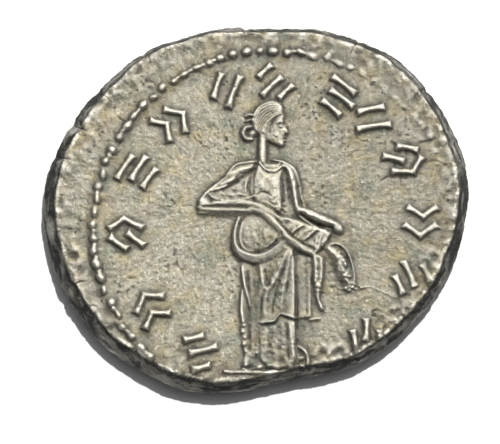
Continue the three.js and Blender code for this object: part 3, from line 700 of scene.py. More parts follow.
def figure_arms(die):
    # left forearm along the horn's tail, with the beaded end of the sleeve above it
    fore = [(-3.5, 9.12), (-2.6, 9.2), (-1.6, 9.22), (-0.8, 9.06), (-0.1, 8.72), (0.3, 8.46)]
    die.stroke(
        fore, (0.16, 0.22, 0.24, 0.27, 0.28, 0.2), (0.22, 0.25, 0.26, 0.28, 0.28, 0.25), "round",
        soft=0.02, lean=-0.5,
    )
    die.oval((-3.62, 9.24), 0.42, 0.36, -35, 0.26, soft=0.03)
    die.stroke([(-3.42, 9.66), (-3.24, 9.4), (-3.3, 9.12)], (0.04, 0.06, 0.04), 0.08, "soft", "cut")
    cuff = [(-3.25, 9.62), (-2.95, 9.46), (-2.3, 9.38), (-1.7, 9.42), (-1.2, 9.52), (-0.9, 9.64)]
    die.stroke(cuff, 0.06, 0.24, "round", soft=0.01)
    for u, v in smooth_line(cuff, per_span=4)[::2]:
        die.oval((u, v), 0.09, 0.07, 0, 0.29, soft=0.01)
    die.stroke([(-3.1, 9.4), (-2.3, 9.29), (-1.5, 9.34)], 0.035, 0.05, "soft", "cut")
    die.stroke(
        [(-3.7, 9.02), (-2.9, 9.04), (-2.0, 8.98), (-1.5, 8.98)], (0.05, 0.06, 0.05, 0.04), 0.13,
        "soft", "cut",
    )
    # right arm: shoulder, a dark line between it and the sleeve's outer edge, forearm and hand
    right = [(0.78, 11.42), (1.08, 11.12), (1.22, 10.6), (1.34, 10.0), (1.42, 9.3), (1.55, 8.85)]
    die.stroke(
        right, (0.18, 0.25, 0.26, 0.22, 0.2, 0.22), (0.24, 0.28, 0.28, 0.26, 0.25, 0.25), "round",
        soft=0.02,
    )
    seam = [
        (0.15, 11.68), (0.74, 11.54), (1.22, 11.28), (1.46, 10.88), (1.62, 10.3), (1.72, 9.6),
        (1.9, 9.05),
    ]
    die.stroke(
        seam, (0.06, 0.09, 0.1, 0.1, 0.08, 0.07, 0.06), (0.2, 0.24, 0.24, 0.2, 0.16, 0.14, 0.12),
        "round", soft=0.01,
    )
    die.stroke(
        [(0.6, 11.46), (1.0, 11.3), (1.3, 10.92), (1.46, 10.3), (1.56, 9.6), (1.66, 9.1)], 0.04, 0.12,
        "soft", "cut",
    )
    die.stroke([(1.08, 10.9), (1.2, 10.3), (1.3, 9.6)], 0.05, 0.04, "keen", "add")
    die.stroke([(1.2, 10.45), (1.05, 10.25), (1.0, 9.9)], 0.05, 0.05, "soft", "cut")
    lower = [(1.78, 8.85), (2.5, 8.5), (3.15, 8.24), (3.6, 8.06)]
    die.stroke(lower, (0.22, 0.26, 0.25, 0.2), (0.23, 0.25, 0.25, 0.25), "round", soft=0.02)
    die.stroke(
        [(1.95, 9.0), (2.5, 8.74), (3.1, 8.5), (3.62, 8.3)], 0.06, (0.03, 0.06, 0.06, 0.04), "keen",
        "add",
    )
    die.stroke([(2.1, 8.78), (2.6, 8.56), (3.2, 8.32)], 0.04, 0.04, "soft", "cut")
    die.stroke(
        [(1.66, 8.68), (2.3, 8.2), (2.8, 7.98), (3.3, 7.88)], (0.06, 0.09, 0.08, 0.05),
        (0.1, 0.2, 0.18, 0.1), "soft", "cut",
    )
    die.oval((3.72, 7.82), 0.36, 0.28, -50, 0.27)
    for du, dv in ((0.02, 0.02), (-0.16, 0.0), (-0.32, -0.04)):
        die.stroke(
            [(3.7 + du, 8.16 + dv), (3.92 + du, 7.85 + dv), (3.84 + du, 7.47 + dv)],
            (0.06, 0.09, 0.06), 0.05, "round", "add",
        )
        die.stroke(
            [(3.6 + du, 8.08 + dv), (3.81 + du, 7.82 + dv), (3.73 + du, 7.48 + dv)], 0.04, 0.07,
            "soft", "cut",
        )


def figure_horn(die):
    # the tail under the forearm, the body in plates, and the heavy roll along its lower side
    die.stroke(
        [(-3.84, 8.94), (-2.9, 8.84), (-1.9, 8.84), (-1.1, 8.76)], (0.2, 0.18, 0.18, 0.18),
        (0.19, 0.21, 0.21, 0.22), "round", soft=0.01, lean=-0.6,
    )
    die.stroke([(-3.9, 8.66), (-2.5, 8.6), (-1.0, 8.52)], (0.1, 0.18, 0.2), 0.12, "keen", lean=-0.6)
    die.pad(
        [
            (-0.3, 8.8), (0.6, 8.55), (1.5, 8.34), (2.3, 7.98), (3.0, 7.76), (3.2, 7.5),
            (2.5, 6.36), (1.7, 6.75), (0.9, 7.25), (0.2, 8.05),
        ],
        0.19, edge=0.13, dome=0.02,
    )
    die.stroke(
        [(1.62, 8.52), (2.3, 8.03), (2.75, 7.8), (3.1, 7.74)], (0.05, 0.07, 0.07, 0.05), 0.23,
        "round", soft=0.01,
    )
    roll = [(-1.1, 8.86), (-0.5, 8.66), (0.16, 8.1), (0.86, 7.32), (1.56, 6.8), (2.36, 6.36)]
    die.stroke(
        roll, (0.18, 0.25, 0.3, 0.3, 0.26, 0.16), (0.24, 0.26, 0.29, 0.29, 0.28, 0.25), "round",
        soft=0.01, lean=-0.62,
    )
    die.stroke(
        [(0.3, 8.42), (0.5, 8.16), (1.12, 7.5), (1.76, 7.02), (2.44, 6.64)],
        (0.04, 0.06, 0.06, 0.05, 0.04), 0.12, "soft", "cut",
    )
    die.stroke(
        [(-0.3, 8.7), (0.3, 8.16), (1.0, 7.38), (1.62, 6.92), (2.3, 6.52)], 0.05, 0.025, "keen",
        "add",
    )
    for points in ([(1.1, 7.5), (1.34, 7.74), (1.74, 8.0)], [(1.86, 7.16), (2.14, 7.44), (2.5, 7.76)]):
        die.stroke(points, (0.06, 0.09, 0.06), 0.07, "round", "add")
        die.stroke([(u + 0.14, v - 0.08) for u, v in points], (0.04, 0.08, 0.05), 0.13, "soft", "cut")
    die.stroke([(0.7, 7.96), (0.95, 8.2), (1.3, 8.3)], 0.05, 0.07, "soft", "cut")
    die.stroke([(1.5, 7.3), (1.75, 7.5), (2.1, 7.76)], 0.05, 0.03, "round", "add")
    # the mouth, with two long leaves and a fruit showing in it
    for cu, cv, half, turn in ((2.62, 7.1, 0.48, 78), (2.96, 7.12, 0.46, 58), (3.18, 7.5, 0.22, 40)):
        die.oval((cu, cv), half, 0.14, turn, 0.27, soft=0.005)
        c, s = math.cos(math.radians(turn)), math.sin(math.radians(turn))
        die.stroke(
            [(cu - 0.45 * half * c, cv - 0.45 * half * s), (cu + 0.55 * half * c, cv + 0.55 * half * s)],
            0.05, 0.12, "soft", "cut",
        )
    die.stroke([(2.76, 6.72), (2.8, 7.1), (2.98, 7.45)], 0.04, 0.1, "soft", "cut")
    die.stroke(
        [(2.5, 6.42), (2.84, 6.62), (3.14, 6.98), (3.34, 7.34)], (0.05, 0.07, 0.07, 0.05), 0.1,
        "soft", "cut",
    )
    die.stroke([(2.34, 7.5), (2.4, 7.1), (2.38, 6.75)], 0.04, 0.06, "soft", "cut")
    die.roughen((1.6, 7.6), 1.6, 0.9, 0.03, 3.0, 319)


def figure_stream(die):
    # what pours out: a soft mass that slopes away on its left, with grains and fruit on its right
    die.stroke(
        [(3.25, 6.72), (3.75, 6.15), (4.05, 5.35), (4.25, 4.75)], (0.32, 0.56, 0.6, 0.36),
        (0.15, 0.2, 0.21, 0.16), "soft", soft=0.02,
    )
    draw = np.random.default_rng(19)
    for k in range(30):
        t = (k + draw.uniform(0, 1)) / 30
        u = 3.55 + 0.85 * t**0.8 + draw.uniform(-0.16, 0.3)
        v = 6.62 - 1.95 * t + draw.uniform(-0.12, 0.12)
        size = draw.uniform(0.07, 0.15)
        die.oval((u, v), size, 0.7 * size, draw.uniform(0, 180), draw.uniform(0.05, 0.1), "round", "add")
    for points in (
        [(3.9, 6.4), (4.05, 6.24), (4.3, 6.2)], [(3.95, 5.75), (4.15, 5.6), (4.4, 5.68)],
        [(4.1, 5.1), (4.3, 5.02), (4.5, 5.12)],
    ):
        die.stroke(points, 0.06, 0.09, "soft", "cut")
    edge = [(3.2, 6.96), (3.62, 7.0), (4.05, 6.78), (4.38, 6.2), (4.56, 5.5), (4.6, 5.0), (4.48, 4.6)]
    die.stroke(
        edge, (0.05, 0.08, 0.09, 0.08, 0.09, 0.08, 0.06), (0.13, 0.19, 0.22, 0.21, 0.22, 0.19, 0.15),
        "keen", soft=0.01,
    )
    die.stroke(
        [(3.3, 6.84), (3.7, 6.84), (4.0, 6.62), (4.24, 6.1), (4.4, 5.5)], 0.05, 0.08, "soft", "cut",
    )
    for u, v, half in (
        (4.1, 4.5, 0.14), (4.32, 4.4, 0.12), (4.5, 4.56, 0.13), (4.68, 4.48, 0.1), (4.84, 4.66, 0.1),
        (4.62, 4.74, 0.1), (4.96, 4.56, 0.08),
    ):
        die.oval((u, v), half, 0.65 * half, 25, 0.2)
    die.roughen((4.1, 5.6), 0.8, 1.5, 0.06, 3.0, 321)
    # a thin flow line that the die left beside it
    die.stroke(
        [(4.95, 4.58), (5.5, 4.6), (6.3, 4.28), (7.4, 3.78)], (0.06, 0.04, 0.05, 0.03),
        (0.06, 0.04, 0.05, 0.02), "round",
    )


def figure_head(die):
    # a plain youthful profile on even thirds: hairline, brow, base of the nose, chin
    chin, third = 12.42, 0.66
    die.stroke(
        [(-0.42, 13.0), (-0.42, 12.3), (-0.4, 11.65)], (0.26, 0.27, 0.3), (0.2, 0.23, 0.2), "round",
    )
    die.stroke([(-0.28, 12.8), (-0.26, 12.2)], 0.06, 0.03, "keen", "add")
    profile = [
        (0.55, chin + 3.4 * third), (0.76, chin + 3 * third), (0.83, chin + 2.2 * third),
        (0.8, chin + 1.98 * third), (1.04, chin + 1.25 * third), (0.98, chin + 1.08 * third),
        (0.84, chin + third), (0.92, chin + 0.8 * third), (0.83, chin + 0.68 * third),
        (0.89, chin + 0.52 * third), (0.8, chin + 0.36 * third), (0.82, chin + 0.1 * third),
        (0.62, chin - 0.06), (0.2, chin + 0.14), (-0.2, 12.75), (-0.75, 13.2), (-0.85, 13.9),
        (-0.6, 14.55), (0.0, 14.9),
    ]
    die.pad(profile, 0.16, edge=0.2, dome=0.04)
    die.oval((0.34, chin + 0.95 * third), 0.28, 0.3, 0, 0.05, "soft", "add")
    die.oval((0.66, chin + 0.22 * third), 0.16, 0.14, 0, 0.04, "soft", "add")
    die.stroke(
        [(0.84, chin + 1.9 * third), (0.94, chin + 1.45 * third), (0.96, chin + 1.18 * third)], 0.07,
        0.05, "round", "add",
    )
    die.stroke(
        [(0.42, chin + 2.02 * third), (0.62, chin + 2.16 * third), (0.8, chin + 2.06 * third)], 0.055,
        0.07, "round", "add",
    )
    die.stroke(
        [(0.42, chin + 1.84 * third), (0.6, chin + 1.92 * third), (0.74, chin + 1.84 * third)], 0.045,
        0.07, "soft", "cut",
    )
    die.oval((0.62, chin + 1.72 * third), 0.12, 0.06, -5, 0.06, "round", "add")
    die.stroke(
        [(0.44, chin + 1.6 * third), (0.6, chin + 1.55 * third), (0.74, chin + 1.62 * third)], 0.035,
        0.05, "soft", "cut",
    )
    die.stroke([(0.7, chin + 0.7 * third), (0.9, chin + 0.68 * third)], 0.04, 0.08, "soft", "cut")
    die.stroke(
        [(0.8, chin + 1.02 * third), (0.86, chin + 1.1 * third), (0.96, chin + 1.06 * third)], 0.03,
        0.05, "soft", "cut",
    )
    # the hair is combed back in strands over the ear and gathered in a knot at the nape
    hair = [
        (0.74, 14.28), (0.74, 14.66), (0.46, 14.98), (-0.05, 15.06), (-0.6, 14.8), (-0.98, 14.3),
        (-1.02, 13.7), (-0.84, 13.24), (-0.5, 13.06), (-0.14, 13.16), (0.02, 13.6), (0.3, 14.02),
    ]
    die.pad(hair, 0.2, edge=0.18, dome=0.03)
    for k in range(7):
        t = k / 6
        strand = [
            (0.66 - 0.12 * t, 14.3 + 0.52 * t), (0.2 - 0.1 * t, 14.12 + 0.8 * t),
            (-0.26 - 0.34 * t, 13.7 + 0.94 * t), (-0.44 - 0.46 * t, 13.3 + 0.66 * t),
            (-0.62 - 0.34 * t, 13.1 + 0.44 * t),
        ]
        die.stroke(
            strand, (0.04, 0.075, 0.085, 0.08, 0.05), (0.05, 0.08, 0.08, 0.07, 0.04), "keen", "add",
        )
        between = [(u - 0.05, v + 0.06) for u, v in strand]
        if k < 6:
            die.stroke(
                between, (0.03, 0.045, 0.05, 0.045, 0.03), (0.05, 0.11, 0.12, 0.11, 0.05), "soft",
                "cut",
            )
    die.stroke(
        [(0.62, 14.2), (0.3, 13.96), (0.06, 13.6), (-0.06, 13.16)], (0.04, 0.05, 0.06, 0.05),
        (0.06, 0.1, 0.12, 0.08), "soft", "cut",
    )
    die.stroke([(-0.2, 13.5), (-0.34, 13.3), (-0.26, 13.12)], (0.05, 0.07, 0.05), 0.05, "round", "add")
    die.stroke(
        [(-1.08, 13.56), (-1.38, 13.46), (-1.5, 13.16), (-1.34, 12.88), (-0.96, 12.84)],
        (0.09, 0.13, 0.14, 0.13, 0.08), (0.2, 0.26, 0.27, 0.25, 0.18), "round", soft=0.005,
    )
    die.oval((-0.98, 13.16), 0.3, 0.24, 15, 0.17, soft=0.005)
    die.stroke([(-1.1, 13.4), (-1.26, 13.2), (-1.14, 13.0)], 0.045, 0.09, "soft", "cut")
    die.stroke(
        [(-0.9, 14.16), (-1.15, 14.24), (-1.38, 14.14)], (0.12, 0.09, 0.06), (0.2, 0.19, 0.13),
        "round",
    )
    die.stroke(
        [(-0.9, 13.92), (-1.14, 13.94), (-1.34, 13.84)], (0.1, 0.08, 0.05), (0.2, 0.18, 0.12),
        "round",
    )
    die.stroke([(-0.86, 14.05), (-1.1, 14.1), (-1.36, 14.0)], 0.04, 0.12, "soft", "cut")


def right_side_faint(degrees):
    """The border runs off the flan at the right, and is weak beside it."""
    away = angle_between(degrees, 160)
    return 1.0 if away < 72 else max(0.22, 1.0 - (away - 72) / 42)


REVERSE_STROKES = [
    (239, "comb"), (214, "hooks"), (183, "hook_and_slants"), (157.5, "ladder"), (134, "hooks"),
    (108, "slants"), (89, "comb"), (63, "ladder"), (47, "slants"), (27, "hook_and_slants"),
    (1.5, "hooks"), (-21.5, "comb"), (-51.5, "hook_and_slants"),
]
reverse = Die()
reverse.origin = FIGURE_FOOT
for carve in (
    figure_robe, figure_feet, figure_hips, figure_trunk, figure_horn, figure_arms, figure_stream,
    figure_head,
):
    carve(reverse)
strokes_round(reverse, REVERSE_MIDDLE, REVERSE_STROKES_AT, REVERSE_STROKES)
bead_ring(
    reverse, REVERSE_MIDDLE, REVERSE_RING, count=84, length=0.6, width=0.46, height=0.2,
    faint=right_side_faint,
)
# a low swelling under the border on the left, and thin cracks, most of them at the right
ring = [
    (
        REVERSE_MIDDLE[0] + SWELLING_AT * math.cos(math.radians(a)),
        REVERSE_MIDDLE[1] + SWELLING_AT * math.sin(math.radians(a)),
    )
    for a in range(96, 246, 10)
]
reverse.origin = (0.0, 0.0)
reverse.stroke(ring, 0.5, (0.02, 0.07, 0.08, 0.07, 0.02), "soft", "add")
for crack in (
    [(8.86, 3.26), (9.3, 3.5), (9.75, 3.56), (10.3, 3.82)],
    [(9.3, 2.3), (9.8, 2.42), (10.2, 2.38), (10.84, 2.0)],
    [(6.1, -0.76), (6.4, -0.66), (6.54, -0.5), (7.0, -0.54)],
    [(6.77, 1.14), (7.2, 1.47), (7.64, 1.69)],
    [(-7.6, 4.9), (-7.2, 4.7), (-6.9, 4.76)],
):
    reverse.stroke(crack, (0.03, 0.05, 0.05, 0.03), (0.03, 0.07, 0.07, 0.04), "soft", "cut")


# The obverse, on the hidden side: a youthful bust with a crown of rays, drawn more simply.
OBVERSE_MIDDLE = np.array((-0.4, 0.3))
OBVERSE_RING = 19.4
OBVERSE_STROKES_AT = 8.2
OBVERSE_GROUPS = 12
BUST_SQUARE = 0.96


def bust(die):
    k = BUST_SQUARE
    die.origin = (OBVERSE_MIDDLE[0], OBVERSE_MIDDLE[1] - 7.2)

    def at(points):
        return [(k * u, k * v) for u, v in points]

    cloak = [
        (-5.0, 1.3), (-4.2, 3.0), (-2.5, 4.1), (-0.8, 3.7), (1.1, 4.1), (3.0, 3.3), (4.3, 1.7),
        (3.4, 0.4), (1.6, 0.1), (-1.6, 0.1), (-3.6, 0.4),
    ]
    die.pad(at(cloak), 0.19, edge=0.5)
    for i in range(4):
        drop = i / 3
        low = (-0.9 - 0.5 * drop, 2.4 - 1.7 * drop)
        fold = [
            (-3.0 - 1.2 * drop, 3.7 - 1.5 * drop), low, (0.8, low[1] + 0.2),
            (1.9 + 1.5 * drop, 3.4 - 1.5 * drop),
        ]
        die.stroke(at(fold), (0.16, 0.3, 0.3, 0.16), (0.27, 0.32, 0.32, 0.27), "round")
        die.stroke(at([(u, v - 0.32) for u, v in fold]), 0.12, 0.05, "soft", "cut")
    die.oval(at([(2.7, 3.2)])[0], 0.52, 0.52, 0, 0.33)
    die.oval(at([(2.7, 3.2)])[0], 0.2, 0.2, 0, 0.06, "soft", "cut")
    neck = [(-1.9, 7.4), (0.2, 6.4), (1.1, 5.2), (1.1, 3.7), (-0.6, 3.2), (-2.1, 3.9), (-2.1, 5.6)]
    die.pad(at(neck), 0.2, edge=0.6, dome=0.03)
    die.stroke(at([(0.2, 6.2), (-0.5, 4.9), (-0.7, 3.8)]), 0.14, 0.03, "round", "add")
    chin, third = 5.8, 1.7
    profile = [
        (1.5, 12.0), (2.15, chin + 3 * third), (2.4, chin + 2.25 * third),
        (2.25, chin + 1.95 * third), (3.0, chin + 1.22 * third), (2.85, chin + 1.06 * third),
        (2.5, chin + third), (2.7, chin + 0.8 * third), (2.47, chin + 0.67 * third),
        (2.65, chin + 0.52 * third), (2.38, chin + 0.36 * third), (2.42, chin + 0.1 * third),
        (1.9, chin - 0.2), (0.4, 6.2), (-1.4, 7.2), (-2.8, 8.6), (-3.1, 10.3), (-2.0, 11.8),
        (-0.2, 12.5),
    ]
    die.pad(at(profile), 0.22, edge=0.5, dome=0.03)
    die.oval(at([(1.1, chin + 0.95 * third)])[0], 0.8, 0.8, 0, 0.03, "soft", "add")
    die.stroke(
        at([(1.2, chin + 2.02 * third), (1.75, chin + 2.2 * third), (2.25, chin + 2.02 * third)]),
        0.12, 0.05, "round", "add",
    )
    die.oval(at([(1.75, chin + 1.76 * third)])[0], 0.3, 0.16, -4, 0.05, "round", "add")
    for lift in (0.18, -0.14):
        die.stroke(
            at([
                (1.3, chin + 1.76 * third), (1.75, chin + 1.76 * third + lift),
                (2.15, chin + 1.76 * third),
            ]), 0.06, 0.045, "keen", "add",
        )
    die.stroke(
        at([(2.3, chin + 1.1 * third), (2.55, chin + 1.22 * third), (2.7, chin + 1.1 * third)]), 0.07,
        0.04, "soft", "cut",
    )
    die.stroke(at([(2.05, chin + 0.69 * third), (2.6, chin + 0.68 * third)]), 0.06, 0.06, "soft", "cut")
    ear = [(0.0, 7.9), (-0.4, 8.2), (-0.5, 8.8), (-0.1, 9.1), (0.2, 8.8)]
    die.stroke(at(ear), 0.13, 0.31, "round")
    die.stroke(at([(-0.05, 8.2), (-0.15, 8.7)]), 0.12, 0.05, "soft", "cut")
    # short hair down to the nape: a groove and a ridge for each lock, and a fringe at the temple
    nape = [
        (-3.0, 9.6), (-3.0, 8.5), (-2.6, 7.4), (-1.8, 7.0), (-1.2, 7.6), (-0.9, 8.6), (-0.7, 9.6),
        (-1.6, 10.2),
    ]
    die.pad(at(nape), 0.22, edge=0.4, dome=0.03)
    for row in range(5):
        reach = 2.8 - 0.52 * row
        locks = 14 - 2 * row
        start = 236 if row < 2 else 196
        for i in range(locks):
            a = math.radians(start - (start - 72) * (i + 0.5) / locks)
            u, v = -0.35 + reach * math.cos(a), 9.7 + 0.88 * reach * math.sin(a)
            swing = a - math.pi / 2 - 0.5
            bend = (u + 0.34 * math.cos(swing + 0.35), v + 0.34 * math.sin(swing + 0.35))
            tip = (u + 0.68 * math.cos(swing), v + 0.68 * math.sin(swing))
            lock = [(u, v), bend, tip]
            die.stroke(at(lock), (0.09, 0.13, 0.05), (0.06, 0.12, 0.05), "soft", "cut")
            beside = [(p + 0.18 * math.cos(a), q + 0.18 * math.sin(a)) for p, q in lock]
            die.stroke(at(beside), (0.06, 0.1, 0.05), (0.02, 0.045, 0.02), "round", "add")
    for row in range(2):
        for i in range(7):
            t = i / 6
            u, v = 1.85 - 1.3 * t - 0.5 * row, 10.7 - 1.35 * t + 0.2 * row
            lock = [(u - 0.42, v + 0.3), (u - 0.14, v + 0.2), (u, v - 0.06)]
            die.stroke(at(lock), (0.07, 0.11, 0.05), (0.05, 0.1, 0.05), "soft", "cut")
    die.stroke(at([(2.3, 11.2), (0.9, 11.3), (-1.1, 10.6), (-2.9, 9.4)]), 0.2, 0.34, "flat", soft=0.01)
    for i in range(6):
        t = i / 5
        foot = (-2.6 + 4.6 * t, 10.6 + 1.3 * math.sin(math.pi * (0.12 + 0.66 * t)))
        lean = math.radians(138 - 78 * t)
        tip = (foot[0] + 2.5 * math.cos(lean), foot[1] + 2.5 * math.sin(lean))
        die.stroke(at([foot, tip]), (0.42, 0.1), (0.3, 0.2), "keen", soft=0.01)
    die.stroke(at([(-2.9, 9.3), (-3.9, 8.3), (-3.6, 7.0)]), (0.16, 0.26, 0.18), (0.2, 0.2, 0.14), "round")
    die.stroke(at([(-2.8, 9.1), (-3.0, 7.6), (-3.3, 6.1)]), (0.15, 0.24, 0.18), (0.2, 0.2, 0.14), "round")


obverse = Die()
bust(obverse)
group_names = list(STROKE_GROUPS)
obverse_strokes = [
    (228 - 270 * i / (OBVERSE_GROUPS - 1), group_names[i % len(group_names)])
    for i in range(OBVERSE_GROUPS)
]
strokes_round(obverse, OBVERSE_MIDDLE, OBVERSE_STROKES_AT, obverse_strokes)
bead_ring(
    obverse, OBVERSE_MIDDLE, OBVERSE_RING, count=54, length=0.62, width=0.42, height=0.18,
    faint=lambda degrees: 0.9,
)


# Hammering, wear and splits: the fields are slightly uneven, the metal flowed outwards under the
# blow, high points are worn, dirt has bitten small pits, and the rim is split.
def drawn_out(reach, turn, along, spokes, seed):
    """Unevenness between -1 and 1, drawn out along `reach` and closed round the coin."""
    draw = np.random.default_rng(seed)
    rings = int(reach.max() / along) + 3
    knots = draw.uniform(-1, 1, (rings, spokes))
    v = reach / along
    u = (turn + np.pi) / (2 * np.pi) * spokes
    i, j = v.astype(int), u.astype(int) % spokes
    fv, fu = v - v.astype(int), u - u.astype(int)
    fv, fu = fv * fv * (3 - 2 * fv), fu * fu * (3 - 2 * fu)
    k = (j + 1) % spokes
    near = knots[i, j] * (1 - fu) + knots[i, k] * fu
    far = knots[i + 1, j] * (1 - fu) + knots[i + 1, k] * fu
    return near * (1 - fv) + far * fv


FIELD_UNEVENNESS = 0.03
FLOW_DEPTH = 0.015  # of the fine lines along which the metal flowed outwards
GRAIN_DEPTH = 0.015
PIT_DEPTH = 0.11
LUMP_HEIGHT = 0.105  # of the lumps between the border and the rim
BURR_HEIGHT = 0.05
RIM_DROP = 0.05
RIM_DROP_CHANGE = 0.04
WORN_SHARE = 0.25  # what wear leaves of the height above the worn level
UNDER_WORN_TOP = 0.3


def finish_face(die, seed, worn, weak):
    shape = die.height.shape
    sheet = die.height * (1 - weak(die.x, die.y))
    softened = blurred(sheet, RASTER)
    sheet = 0.5 * sheet + 0.5 * softened
    degrees = np.degrees(np.arctan2(die.y, die.x))
    outwards = np.hypot(die.x, die.y) / rim_radius(degrees)
    bare = np.clip(1 - softened / 0.08, 0, 1)
    uneven = 0.5 * noise_sheet(shape, 75, seed) + 0.3 * noise_sheet(shape, 32, seed + 1)
    uneven = uneven + 0.2 * noise_sheet(shape, 14, seed + 2)
    reach, turn = np.hypot(die.x, die.y), np.arctan2(die.y, die.x)
    flow = (
        0.5 * drawn_out(reach, turn, 0.5, 280, seed + 3)
        + 0.5 * drawn_out(reach, turn, 0.28, 430, seed + 4)
    )
    grain = 0.6 * noise_sheet(shape, 6, seed + 5) + 0.4 * noise_sheet(shape, 3.2, seed + 6)
    sheet = (
        sheet + FIELD_UNEVENNESS * uneven
        + (0.6 + 0.4 * bare) * (FLOW_DEPTH * flow + GRAIN_DEPTH * grain)
    )
    # pits where dirt sits, thicker in some places than in others
    rough_places = 0.5 * noise_sheet(shape, 40, seed + 7) + 0.1 * np.clip(die.x / 6, 0, 1)
    pits = np.clip(noise_sheet(shape, 4, seed + 8) + rough_places - 0.82, 0, 0.4)
    sheet = sheet - PIT_DEPTH * pits
    # between the border and the rim the metal was pushed up into low lumps
    lumps = (
        noise_sheet(shape, 11, seed + 9) * noise_sheet(shape, 24, seed + 10)
        + 0.3 * noise_sheet(shape, 9, seed + 13)
    )
    sheet = sheet + LUMP_HEIGHT * lumps * np.clip((outwards - 0.84) / 0.1, 0, 1)
    burr = np.clip(1 - np.abs(outwards - 0.985) / 0.02, 0, 1)
    sheet = sheet + BURR_HEIGHT * burr * np.clip(0.4 + noise_sheet(shape, 8, seed + 12), 0, 1)
    sheet = np.minimum(sheet, worn + WORN_SHARE * np.clip(sheet - worn, 0, 0.03))
    # the face drops a little just inside the rim, unevenly
    drop = np.clip((outwards - 0.965) / 0.035, 0, 1.4)
    return sheet - (RIM_DROP + RIM_DROP_CHANGE * noise_sheet(shape, 20, seed + 11)) * drop


def reverse_weak(x, y):
    lower_right = np.clip(1 - np.hypot((x - 9.5) / 3.0, (y + 3.5) / 5.5), 0, 1)
    return 0.55 * lower_right


reverse.height = finish_face(reverse, 11, WORN_TOP, reverse_weak)
obverse.height = finish_face(obverse, 47, UNDER_WORN_TOP, lambda x, y: 0.0 * x)
for at, width, depth, length in SPLITS:
    a = math.radians(at)
    start, reach = rim_radius(at) - length, bulge_radius(at) + 0.4
    kinks = [math.radians(at + chance.uniform(-0.9, 0.9)) for _ in range(3)]
    line = [(start * math.cos(a), start * math.sin(a))]
    for k, kink in enumerate(kinks):
        r = start + (reach - start) * (k + 1) / 3
        line.append((r * math.cos(kink), r * math.sin(kink)))
    half = math.radians(width) * bulge_radius(at) * 0.5
    reverse.origin = (0.0, 0.0)
    widths = (0.04, 0.06, 0.45 * half, 0.8 * half)
    reverse.stroke(line, widths, (0.02, 0.16 * depth, 0.5 * depth, 0.8 * depth), "soft", "cut")


def sampled(sheet, x, y):
    """Reads a sheet between its raster points."""
    n = sheet.shape[0]
    u = np.clip((x - reverse.axis[0]) / RASTER, 0, n - 2.001)
    v = np.clip((y - reverse.axis[0]) / RASTER, 0, n - 2.001)
    i, j = v.astype(int), u.astype(int)
    fv, fu = v - i, u - j
    low = sheet[i, j] * (1 - fu) + sheet[i, j + 1] * fu
    high = sheet[i + 1, j] * (1 - fu) + sheet[i + 1, j + 1] * fu
    return low * (1 - fv) + high * fv


# A slab of fine cells is drawn out into the coin: its two faces take the dies' surfaces, and its
# walls swell into the hammered edge.
def corners_of(shape):
    """The places of a mesh's corners, a row for each."""
    flat = np.empty(len(shape.vertices) * 3)
    shape.vertices.foreach_get("co", flat)
    return flat.reshape(-1, 3)


bpy.ops.object.select_all(action="DESELECT")
bpy.ops.mesh.primitive_grid_add(x_subdivisions=GRID, y_subdivisions=GRID, size=2, location=(0, 0, 1))
struck = bpy.context.object
struck.name = "struck_coin"
slab = struck.modifiers.new("slab", "SOLIDIFY")
slab.thickness = 2
slab.offset = -1
bpy.ops.object.modifier_apply(modifier=slab.name)
mesh = struck.data
heights = corners_of(mesh)[:, 2]
ends = np.empty(len(mesh.edges) * 2, int)
mesh.edges.foreach_get("vertices", ends)
ends = ends.reshape(-1, 2)
upright = np.abs(heights[ends[:, 0]] - heights[ends[:, 1]]) > 1
bpy.ops.object.mode_set(mode="EDIT")
bpy.ops.mesh.select_all(action="DESELECT")
bpy.ops.object.mode_set(mode="OBJECT")
mesh.edges.foreach_set("select", upright)
bpy.ops.object.mode_set(mode="EDIT")
bpy.ops.mesh.select_mode(type="EDGE")
bpy.ops.mesh.subdivide(number_cuts=EDGE_LEVELS)
bpy.ops.object.mode_set(mode="OBJECT")

a, b, level = corners_of(mesh).T
level = level - level.min()
level = 2 * level / level.max() - 1
across = a * np.sqrt(1 - b * b / 2)
along = b * np.sqrt(1 - a * a / 2)
share = np.hypot(across, along)
degrees = np.degrees(np.arctan2(along, across))
inner = rim_radius(degrees) - RIM_RADIUS + rim_wander(degrees)
x = share * inner * np.cos(np.radians(degrees))
y = share * inner * np.sin(np.radians(degrees))
top = TOP_FIELD + sampled(reverse.height, x, y)
bottom = np.maximum(0, UNDER_FIELD - sampled(obverse.height, -x, y))
wall = np.abs(level) < 0.999
middle_level = (TOP_FIELD + UNDER_FIELD) / 2
end_level = np.where(level > 0, top, bottom)
# the section of the edge: a bevel that falls from the rim and rounds into the bulge
DOWN_THE_EDGE = (0, 0.1, 0.72, 0.88, 1)
EDGE_SHARE_OUT = (0, 0.15, 0.83, 0.96, 1)
EDGE_SHARE_DOWN = (0, 0.08, 0.64, 0.82, 1)
LAYER_DEPTH = 0.06
CHIP_DEPTH = 0.03
ROUGH_DEPTH = 0.026
EDGE_SHRINK = 0.03  # keeps the roughness inside the outline
down = 1 - np.abs(level)
out_share = np.interp(down, DOWN_THE_EDGE, EDGE_SHARE_OUT)
drop_share = np.interp(down, DOWN_THE_EDGE, EDGE_SHARE_DOWN)
z = np.where(wall, end_level + (middle_level - end_level) * drop_share, end_level)
ring = np.radians(degrees)
depth_down = (1 - level) * 0.55
layers = drawn_out(depth_down, ring, 0.11, 46, 81)
chips = drawn_out(depth_down, ring, 0.22, 118, 82)
rough = drawn_out(depth_down, ring, 0.07, 420, 83)
edge_texture = LAYER_DEPTH * layers + CHIP_DEPTH * chips + ROUGH_DEPTH * rough
below_rim = np.clip(down / 0.2, 0, 1)
swell = (bulge_radius(degrees) - inner) * out_share
swell = swell + edge_texture * below_rim - EDGE_SHRINK * below_rim
